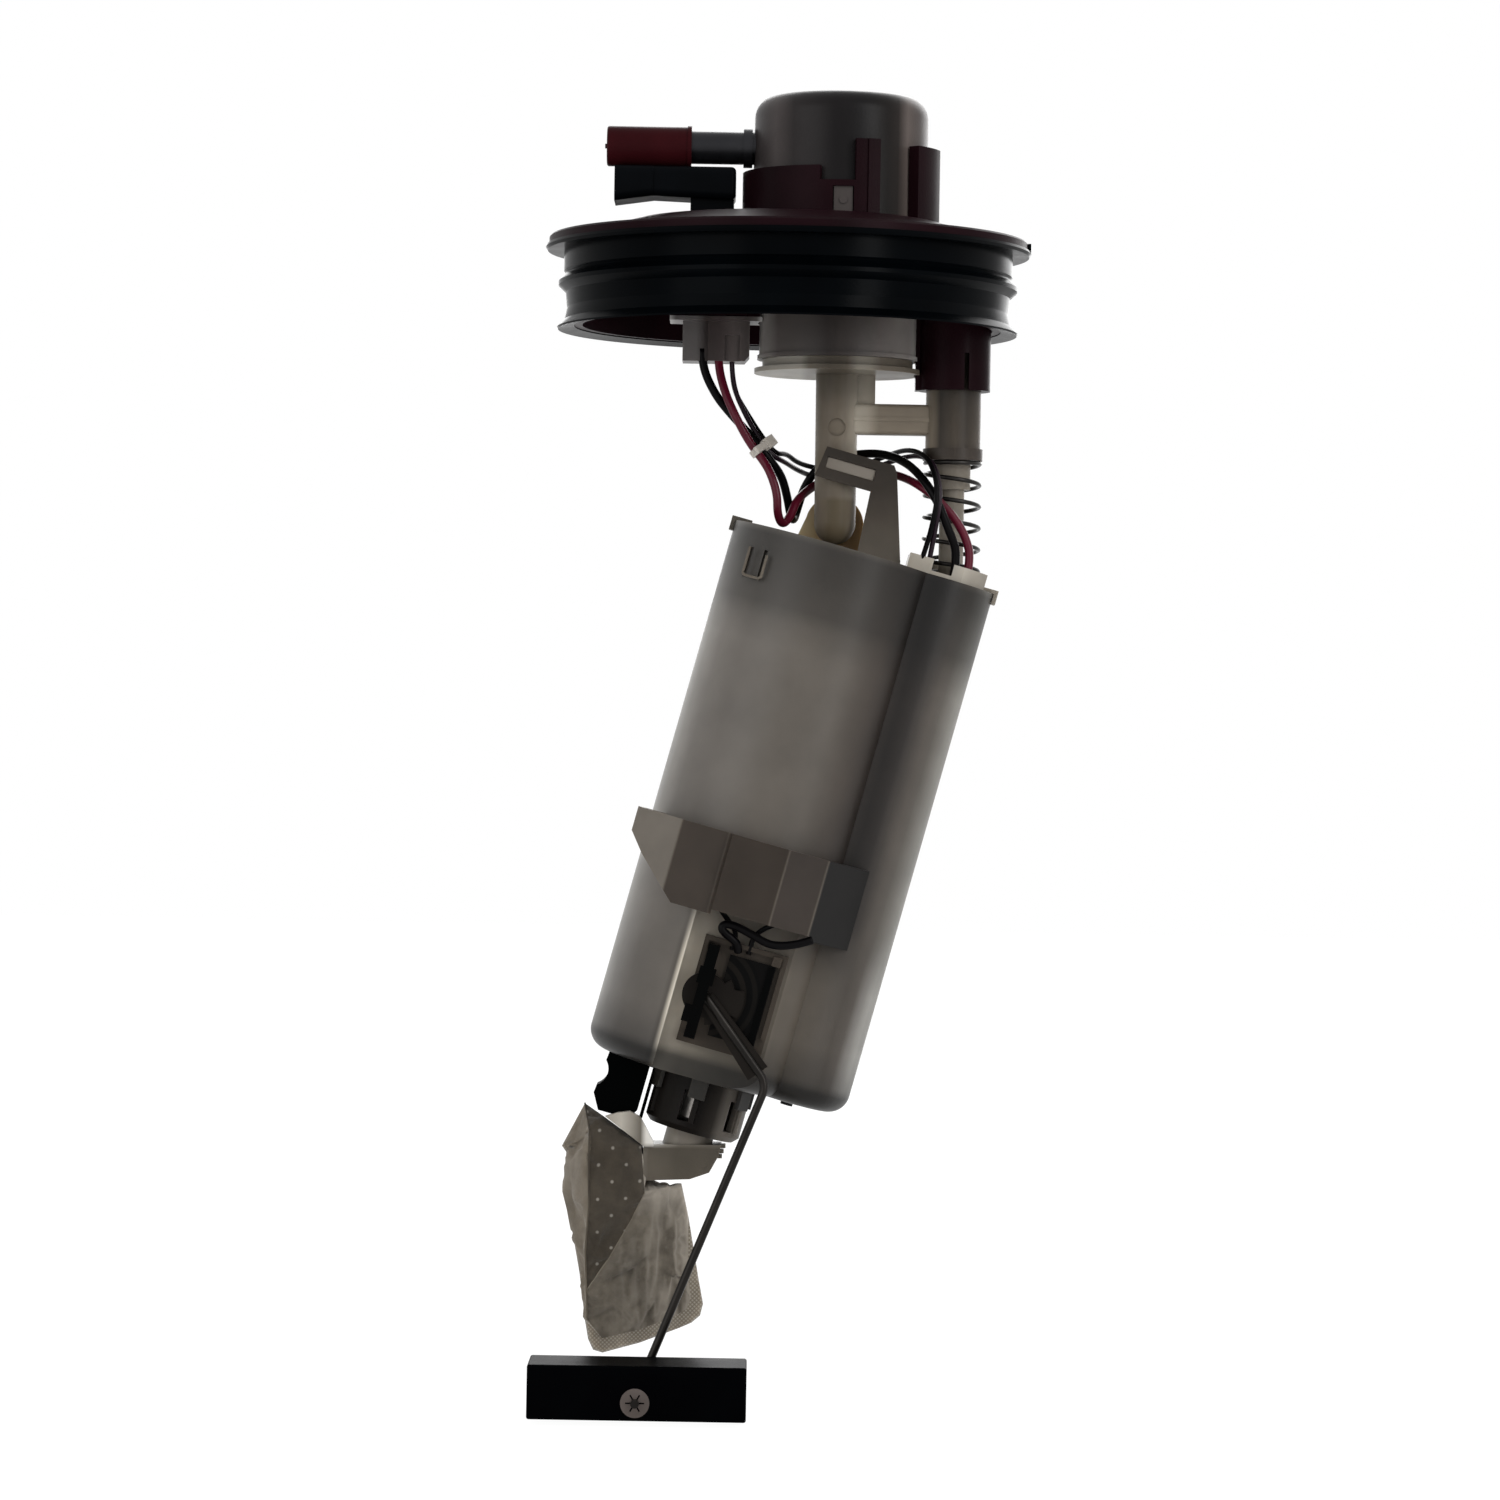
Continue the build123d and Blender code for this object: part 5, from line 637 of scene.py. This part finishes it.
def tube(name, line, radius, sides=14):
    """A round tube along a line of points, with closed ends."""
    verts, faces = [], []
    side = Vector((0, 1, 0.01)).normalized()
    for i, here in enumerate(line):
        along = (line[min(i + 1, len(line) - 1)] - line[max(i - 1, 0)]).normalized()
        side = (side - side.dot(along) * along).normalized()
        up = along.cross(side)
        for j in range(sides):
            turn = 2 * math.pi * j / sides
            verts.append(here + (side * math.cos(turn) + up * math.sin(turn)) * radius)
    for i in range(len(line) - 1):
        for j in range(sides):
            k = (j + 1) % sides
            faces.append((i * sides + j, i * sides + k, (i + 1) * sides + k, (i + 1) * sides + j))
    faces.append(tuple(range(sides - 1, -1, -1)))
    last = (len(line) - 1) * sides
    faces.append(tuple(range(last, last + sides)))
    return mesh_object(name, verts, faces)


def mesh_object(name, verts, faces, smooth=True):
    mesh = bpy.data.meshes.new(name)
    mesh.from_pydata([tuple(v) for v in verts], [], faces)
    mesh.update()
    if smooth:
        for polygon in mesh.polygons:
            polygon.use_smooth = True
    obj = bpy.data.objects.new(name, mesh)
    bpy.context.collection.objects.link(obj)
    return obj


TOP_EXIT = -33
WIRE_ROUTES = {
    "lead_black": (1.25, "pump_lead_black", "wire_black", [
        (-24.6, -4.0, -28), (-24.6, -4.0, TOP_EXIT), (-20.8, -4.4, -41), (-16.4, -4.0, -46.4),
        (-9.14, -5.88, -54.09), (-4.67, -6.24, -59.72), (-0.9, -1.4, -64.2), (0.9, 1.4, -70.4),
        (1.9, 5.0, -75.6), (2.9, 9.6, -77), (4.0, 12.6, -73), (5.8, 12.0, -66.9), (9.4, 10, -61.4),
        (14, 10.6, -58.6), (21.4, 9.2, -56.9), (29.2, 4.2, -57), (35.7, -4.2, -60.2),
        (40.2, -12.4, -65.4), (44.0, -14.6, -71.4), (47.2, -14.8, -79.2), (50.73, -11.9, -87.63),
        (48.30, -11.9, -96.69),
    ]),
    "lead_red": (1.25, "pump_lead_red", "wire_red", [
        (-19.9, -4.4, -28), (-19.9, -4.4, TOP_EXIT), (-17.7, -7, -41), (-14.8, -8.8, -47.4),
        (-10.46, -7.86, -55.15), (-5.99, -8.22, -60.78), (-4, -10.2, -64.4), (-2.1, -11.2, -70.2),
        (-2, -9.8, -75.8), (-0.5, -6.2, -79), (1.9, -2.9, -76.2), (3.4, -0.6, -71.6), (6.8, 5.4, -68),
        (11.4, 9.8, -64.9), (17.4, 10.4, -62.9), (25, 8.2, -62.1), (33, 1.2, -63.2),
        (40, -8.9, -67.2), (47.8, -10.9, -74.2), (52.4, -10.8, -81.0), (54.40, -10.4, -88.61),
        (51.97, -10.4, -97.67),
    ]),
    "lead_purple": (0.75, "sender_lead_purple", "wire_purple", [
        (-16.0, -2.2, -28), (-16.0, -2.2, TOP_EXIT), (-14.9, -2.8, -40.2), (-11.9, -3.4, -46.6),
        (-8.08, -4.28, -53.24), (-3.61, -4.64, -58.87), (0, 0.6, -60.2), (3.2, 8.4, -61.8),
        (7.4, 15.8, -63.2), (14.4, 17, -64.4), (21.4, 14.8, -63.2), (29, 10, -59.8),
        (36.6, -0.8, -57.6), (41.6, -9.4, -58.8), (43.8, -14.4, -63.2), (44.8, -16.8, -69.2),
        (44.1, -17.0, -76), (42.7, -11.6, -85.4), (40.96, -10.9, -94.72),
    ]),
    "lead_sender_black": (0.75, "sender_lead_black", "wire_black", [
        (-16.0, 0.8, -28), (-16.0, 0.8, TOP_EXIT), (-15, 0.2, -40.2), (-11.6, -0.8, -45.8),
        (-7.27, -3.07, -52.59), (-2.79, -3.43, -58.22), (0.4, 3.9, -57.5), (3.4, 10.6, -59.6),
        (7.4, 15.8, -60.6), (14.4, 18, -61.8), (21.8, 16.4, -60.6), (29.8, 11.8, -57.2),
        (35.8, -1.6, -55.8), (40.6, -10.8, -58.2), (43.0, -15.8, -63.0), (44.0, -18.2, -69.3),
        (43.2, -18.3, -75.8), (41.2, -13.2, -84.8), (38.07, -11.9, -93.94),
    ]),
}


def lay_wires():
    for name, (radius, node, look, route) in WIRE_ROUTES.items():
        wire = tube(name, line_points(route), radius * MM)
        wire.data.materials.append(MATERIALS[look])
        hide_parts(node)
        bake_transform(wire)


lay_wires()


# Return spring: one wire with closed ends
COIL_X = 48.75
COIL_R = 7.95
COIL_WIRE_R = 0.65
COIL_TOP = -59.8
COIL_PITCH = 6.25
COIL_TURNS = 5
COIL_STEPS = 28
COIL_CLOSED_PITCH = 0.12


def coil_line():
    """Points down the helix; the first and last half turns lie nearly flat."""
    points = []
    steps = COIL_STEPS * (COIL_TURNS + 1)
    for i in range(steps + 1):
        turn = i / COIL_STEPS
        open_turns = min(max(turn - 0.5, 0), COIL_TURNS)
        first = COIL_CLOSED_PITCH * min(turn, 0.5)
        last = COIL_CLOSED_PITCH * max(turn - COIL_TURNS - 0.5, 0)
        height = COIL_TOP - open_turns * COIL_PITCH - first - last
        angle = 2 * math.pi * (turn - 0.5)
        points.append(Vector((COIL_X + COIL_R * math.cos(angle), COIL_R * math.sin(angle), height)) * MM)
    return points


def wind_spring():
    spring = tube("coil_spring", coil_line(), COIL_WIRE_R * MM, 12)
    spring.data.materials.append(MATERIALS["spring"])
    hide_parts("return_spring")
    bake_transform(spring)


wind_spring()


# Small details: a raised line with a painted glow along the latch's edge, the web in the guard's slot and the
# slack of the sender's lead
SHELL_R = 31.0


def hung_point(across, y, up):
    """A point in the hung reservoir's own frame, in millimetres."""
    place = PIVOT + (Vector(ACROSS) * across + Vector(UP) * up) * MM
    return Vector((place.x, y * MM, place.z))


# A raised pale line round the latch: a painted glow where light shows through the latch's recess.
def latch_glow_line():
    corners = [(-21.6, -13.9), (-21.6, -21.6), (-21.0, -22.2), (-16.8, -22.2), (-16.2, -21.6), (-16.2, -13.9)]
    line = []
    for (a, b), (c, d) in zip(corners, corners[1:]):
        for i in range(6):
            u = a + (c - a) * i / 6
            w = b + (d - b) * i / 6
            line.append(hung_point(u, -math.sqrt(SHELL_R**2 - u * u) + 0.45, w))
    edge = tube("latch_glow_line", line, 0.42 * MM, 10)
    edge.data.materials.append(MATERIALS["latch"])
    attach(edge, "reservoir")


def slot_web():
    """Thin pale skin on the web at the back of the guard's slot."""
    left, right, low, high = -7.2, 7.2, 14.6, 17.8
    front, back = -8.35, -7.98
    verts = []
    for u, w in ((left, low), (right, low), (right, high), (left, high)):
        verts.append(hung_point(u, front, w))
        verts.append(hung_point(u, back, w))
    faces = [(0, 2, 4, 6), (7, 5, 3, 1), (0, 1, 3, 2), (2, 3, 5, 4), (4, 5, 7, 6), (6, 7, 1, 0)]
    web = mesh_object("slot_web", verts, faces, False)
    bevel = web.modifiers.new("edges", "BEVEL")
    bevel.width = 0.12 * MM
    bevel.segments = 2
    web.data.materials.append(MATERIALS["bright"])
    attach(web, "reservoir")


def sender_loop():
    """The slack of the sender's lead, looped below the shield before it enters the sender."""
    route = [
        (26.5, -30.6, -117.2), (24.0, -30.8, -118.9), (19.0, -31.0, -121.2), (14.5, -31.0, -121.9),
        (10.0, -31.0, -120.6), (5.2, -31.0, -119.5), (1.5, -31.0, -119.4), (0.4, -31.0, -120.9),
        (1.9, -31.0, -122.2), (4.6, -30.6, -123.2), (6.6, -29.8, -124.6), (7.0, -28.9, -126.4),
    ]
    points = [hung_point(*place) / MM for place in route]
    loop = tube("sender_loop", line_points([tuple(p) for p in points]), 1.2 * MM)
    loop.data.materials.append(MATERIALS["wire_black"])
    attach(loop, "reservoir")


latch_glow_line()
slot_web()
sender_loop()


# Strainer bag: a welded felt bag whose upper fold stands edge-on and whose lower end lies across the view
BAG_POINTS = {
    "peak": (-54.9, -1, -247.7), "A": (-48.9, -6, -251.3), "B": (-38.2, -9, -258.6),
    "C": (-36.9, -10.6, -272.6), "R1": (-53.1, -13, -254.6), "R2": (-53.0, -18.6, -263.8),
    "R3": (-52.7, -20.2, -275.8), "R4": (-53.6, -16.6, -289.4), "R5": (-53.2, -11.5, -301.0),
    "R6": (-52.9, -8, -310.0), "F1": (-40.6, -12.4, -280.4), "F2": (-46.6, -13.2, -291.0),
    "L1": (-61.4, -1, -260.2), "L1b": (-60.1, -1, -262.0), "L2": (-60.8, -1, -272.9),
    "L2b": (-59.2, -1.5, -278.8), "L3": (-57.7, -2, -286.0), "L4": (-55.6, -3, -296.7),
    "L5": (-53.7, -4.8, -310.4), "BL": (-52.7, -5, -315.8), "BLb": (-51.2, -5, -318.9),
    "BL2": (-48.4, -5, -319.7), "E1": (-37.6, -5, -316.6), "E2": (-26.4, -5, -312.2),
    "BR": (-22.8, -5, -310.6), "BRb": (-20.3, -5, -308.4), "BR2": (-19.5, -5, -305.0),
    "S1": (-26.4, -3, -270.4), "S2": (-24.2, -4.5, -279.7), "S3": (-20.9, -5, -298.0),
    "M0": (-33.0, -9.6, -271.8), "M1": (-32.4, -9.0, -284.9), "M2": (-39.4, -9.6, -295.4),
    "M3": (-29.4, -7.6, -296.0), "M4": (-43.6, -8.2, -307.0), "M5": (-33.4, -7.0, -304.0),
    "W1": (-48.6, -6.4, -315.4), "W2": (-37.6, -6.4, -312.6), "W3": (-27.6, -6.2, -308.6),
    "W4": (-24.1, -6.0, -306.4), "W5": (-23.1, -6.0, -303.0), "W6": (-24.0, -6.0, -297.4),
    "K1": (-54.0, 10.5, -259.0), "K2": (-46.4, 8, -261.0), "K3": (-38.2, 6.5, -259.6),
    "K4": (-38.2, 5.0, -269.8), "K5": (-53.0, 8.5, -272.0), "K6": (-33.0, 1.0, -271.8),
    "K7": (-51.6, 3.6, -290.0), "K8": (-36.0, -1.2, -291.0), "K9": (-42.0, -2.8, -306.0),
    "K10": (-30.0, -3.2, -303.0),
}
BAG_FLAP = """
peak R1 A, R1 R2 A, A R2 B, B R2 C, R2 R3 C, C R3 F1, R3 F2 F1, R3 R4 F2, R4 R5 F2
"""
BAG_LOW = """
C F1 M0, F1 M1 M0, M0 M1 S1, S1 M1 S2, F1 F2 M1, F2 M2 M1, F2 R5 M2, R5 M4 M2, R5 R6 M4, M1 M2 M3, M1 M3 S2,
M2 M4 M5, M2 M5 M3, R6 W1 M4, W1 W2 M4, M4 W2 M5, W2 W3 M5, M5 W3 M3, W3 W4 M3, W4 W5 M3, W5 W6 M3, M3 W6 S2
"""
BAG_WELD = """
R6 L5 W1, L5 BL W1, BL BLb W1, BLb BL2 W1, BL2 E1 W1, E1 W2 W1, E1 E2 W2, E2 W3 W2, E2 BR W3, BR BRb W3,
BRb W4 W3, BRb BR2 W4, BR2 W5 W4, BR2 S3 W5, S3 W6 W5, S3 S2 W6
"""
BAG_LEFT = """
peak L1 R1, L1 L1b R1, L1b R2 R1, L1b L2 R2, L2 R3 R2, L2 L2b R3, L2b L3 R3, L3 R4 R3, L3 L4 R4, L4 R5 R4,
L4 L5 R5, L5 R6 R5
"""
BAG_BACK = """
peak A K1, A K2 K1, A B K2, B K3 K2, B C K3, C K4 K3, C M0 K4, M0 S1 K6, M0 K6 K4, peak K1 L1, L1 K1 L1b,
L1b K1 L2, K1 K5 L2, K1 K2 K5, K2 K4 K5, K2 K3 K4, L2 K5 L2b, L2b K5 L3, K5 K7 L3, L3 K7 L4, K5 K4 K8,
K5 K8 K7, K4 K6 K8, K6 S1 S2, K6 S2 K8, K8 S2 K10, S2 S3 K10, K7 K8 K9, K8 K10 K9, K7 K9 L4, L4 K9 L5,
L5 K9 BL, K9 BLb BL, K9 BL2 BLb, K9 E1 BL2, K9 K10 E1, K10 E2 E1, K10 BR E2,
K10 BRb BR, K10 BR2 BRb, K10 S3 BR2
"""
BAG_RIDGES = """
peak R1 R2 R3 R4 R5 R6, C F1 F2 R5, peak A B C, C M0 S1, W1 W2 W3 W4 W5 W6 S2,
S1 S2 S3 BR2 BRb BR E2 E1 BL2 BLb BL L5 L4 L3 L2b L2 L1b L1 peak
"""
BAG_PANELS = [
    (BAG_FLAP, "felt"), (BAG_LOW, "felt_low"), (BAG_WELD, "weld"), (BAG_LEFT, "felt_left"),
    (BAG_BACK, "felt_low"),
]
BAG_LOOKS = ["felt", "felt_low", "weld", "felt_left"]


BAG_CUTS = 7
BAG_GROWTH = 0.09
BAG_MOVE = 0.0012
CLOTH_FRAMES = 25
CLOTH_CACHE_END = 30


def in_groups(text):
    """Lists of point names, one for each part between commas."""
    return [group.split() for group in text.replace("\n", " ").split(",")]


def bag_mesh():
    """The bag's panels as one closed mesh of small triangles, with its folds and welds held."""
    mesh = bmesh.new()
    verts = {name: mesh.verts.new(Vector(place) * MM) for name, place in BAG_POINTS.items()}
    for panel, look in BAG_PANELS:
        for corners in in_groups(panel):
            face = mesh.faces.new([verts[c] for c in corners])
            face.material_index = BAG_LOOKS.index(look)
    bmesh.ops.recalc_face_normals(mesh, faces=mesh.faces[:])
    for line in in_groups(BAG_RIDGES):
        for a, b in zip(line, line[1:]):
            edge = mesh.edges.get((verts[a], verts[b]))
            if edge:
                edge.seam = True
    bmesh.ops.subdivide_edges(mesh, edges=mesh.edges[:], cuts=BAG_CUTS, use_grid_fill=True)
    bmesh.ops.triangulate(mesh, faces=mesh.faces[:])
    mesh.verts.index_update()
    weld = BAG_LOOKS.index("weld")
    held = []
    for vert in mesh.verts:
        on_fold = any(edge.seam for edge in vert.link_edges)
        on_weld = any(face.material_index == weld for face in vert.link_faces)
        if on_fold or on_weld:
            held.append(vert.index)
    return mesh, held


def make_bag():
    """Sews the bag, lets the felt crumple between its held folds, and hangs it on the elbow."""
    built, held = bag_mesh()
    data = bpy.data.meshes.new("filter_bag")
    built.to_mesh(data)
    built.free()
    bag = bpy.data.objects.new("filter_bag", data)
    bpy.context.collection.objects.link(bag)
    for look in BAG_LOOKS:
        data.materials.append(MATERIALS[look])
    rest = [v.co.copy() for v in data.vertices]
    crumple(bag, held)
    for vert, start in zip(bag.data.vertices, rest):
        step = vert.co - start
        if step.length > BAG_MOVE:
            vert.co = start + step.normalized() * BAG_MOVE
    for polygon in bag.data.polygons:
        polygon.use_smooth = True
    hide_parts("strainer_sock")
    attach(bag, "reservoir")
    return bag


def crumple(bag, held):
    """Cloth that is a little larger than its pattern, pinned at folds and welds, under slight pressure."""
    group = bag.vertex_groups.new(name="held")
    group.add(held, 1.0, "REPLACE")
    cloth = bag.modifiers.new("cloth", "CLOTH")
    settings = cloth.settings
    settings.quality = 8
    settings.mass = 0.15
    settings.tension_stiffness = 20
    settings.compression_stiffness = 20
    settings.shear_stiffness = 10
    settings.bending_stiffness = 0.02
    settings.use_pressure = True
    settings.uniform_pressure_force = 0.4
    settings.vertex_group_mass = "held"
    settings.shrink_min = -BAG_GROWTH
    settings.effector_weights.gravity = 0
    cloth.collision_settings.use_collision = False
    cloth.point_cache.frame_start = 1
    cloth.point_cache.frame_end = CLOTH_CACHE_END
    for moment in range(1, CLOTH_FRAMES + 1):
        bpy.context.scene.frame_set(moment)
    graph = bpy.context.evaluated_depsgraph_get()
    shape = bpy.data.meshes.new_from_object(bag.evaluated_get(graph))
    bag.modifiers.clear()
    for vert, moved in zip(bag.data.vertices, shape.vertices):
        vert.co = moved.co
    bpy.data.meshes.remove(shape)
    bag.vertex_groups.clear()
    bpy.context.scene.frame_set(1)


def bag_seams(bag):
    """The stitched ridge, and a painted highlight along the fold below the flap, as thin raised lines."""
    for name, route, radius, look in (
        ("bag_ridge", "peak R1 R2 R3 R4 R5 R6", 0.26, "stitch"),
        ("bag_fold", "C F1 F2 R5", 0.2, "fold"),
    ):
        corners = [Vector(BAG_POINTS[n]) * MM for n in route.split()]
        line = []
        for a, b in zip(corners, corners[1:]):
            line += [a.lerp(b, i / 10) for i in range(10)]
        seam = tube(name, line + [corners[-1]], radius * MM, 8)
        seam.data.materials.append(MATERIALS[look])
        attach(seam, "reservoir")


bag_seams(make_bag())


# Light and backdrop
def area_light(name, location, target, size, power):
    data = bpy.data.lights.new(name, "AREA")
    data.shape = "RECTANGLE"
    data.size, data.size_y = size
    data.energy = power
    light = bpy.data.objects.new(name, data)
    bpy.context.collection.objects.link(light)
    light.location = location
    aim = Vector(target) - Vector(location)
    light.rotation_euler = aim.to_track_quat("-Z", "Y").to_euler()


def make_world():
    world = bpy.data.worlds.new("world")
    bpy.context.scene.world = world
    world.use_nodes = True
    tree = world.node_tree
    plain = tree.nodes["Background"]
    plain.inputs["Color"].default_value = (1, 1, 1, 1)
    plain.inputs["Strength"].default_value = 0.62
    seen = tree.nodes.new("ShaderNodeBackground")
    seen.inputs["Color"].default_value = (1, 1, 1, 1)
    seen.inputs["Strength"].default_value = 1.0
    rays = tree.nodes.new("ShaderNodeLightPath")
    first = tree.nodes.new("ShaderNodeMath")
    first.operation = "MAXIMUM"
    second = tree.nodes.new("ShaderNodeMath")
    second.operation = "MAXIMUM"
    mix = tree.nodes.new("ShaderNodeMixShader")
    tree.links.new(rays.outputs["Is Camera Ray"], first.inputs[0])
    tree.links.new(rays.outputs["Is Glossy Ray"], first.inputs[1])
    tree.links.new(first.outputs[0], second.inputs[0])
    tree.links.new(rays.outputs["Is Transmission Ray"], second.inputs[1])
    tree.links.new(second.outputs[0], mix.inputs["Fac"])
    tree.links.new(plain.outputs[0], mix.inputs[1])
    tree.links.new(seen.outputs[0], mix.inputs[2])
    tree.links.new(mix.outputs[0], tree.nodes["World Output"].inputs["Surface"])


FLOOR_HALF = 4
FLOOR_Z = -0.3345


def make_floor():
    half = FLOOR_HALF
    corners = [(x, y, FLOOR_Z) for x, y in ((-half, -half), (half, -half), (half, half), (-half, half))]
    floor = mesh_object("floor", corners, [(0, 1, 2, 3)], False)
    material, tree, shader = new_material("floor_white")
    shader.inputs["Base Color"].default_value = (0.9, 0.9, 0.9, 1)
    shader.inputs["Roughness"].default_value = 0.9
    glow = tree.nodes.new("ShaderNodeEmission")
    glow.inputs["Strength"].default_value = 1.1
    rays = tree.nodes.new("ShaderNodeLightPath")
    share = tree.nodes.new("ShaderNodeMath")
    share.operation = "MULTIPLY"
    share.inputs[1].default_value = 0.88
    mix = tree.nodes.new("ShaderNodeMixShader")
    tree.links.new(rays.outputs["Is Camera Ray"], share.inputs[0])
    tree.links.new(share.outputs[0], mix.inputs["Fac"])
    tree.links.new(shader.outputs[0], mix.inputs[1])
    tree.links.new(glow.outputs[0], mix.inputs[2])
    tree.links.new(mix.outputs[0], tree.nodes["Material Output"].inputs["Surface"])
    floor.data.materials.append(material)


make_world()
make_floor()
area_light("key", (0.95, -1.1, 0.35), (0, 0, -0.1), (0.35, 1.3), 9)
area_light("fill", (-0.9, -1.0, 0.1), (0, 0, -0.15), (0.9, 1.2), 5)
area_light("back", (0.3, 1.3, 0.5), (0, 0, -0.1), (1.4, 1.2), 14)
bpy.context.scene.view_settings.view_transform = "Standard"
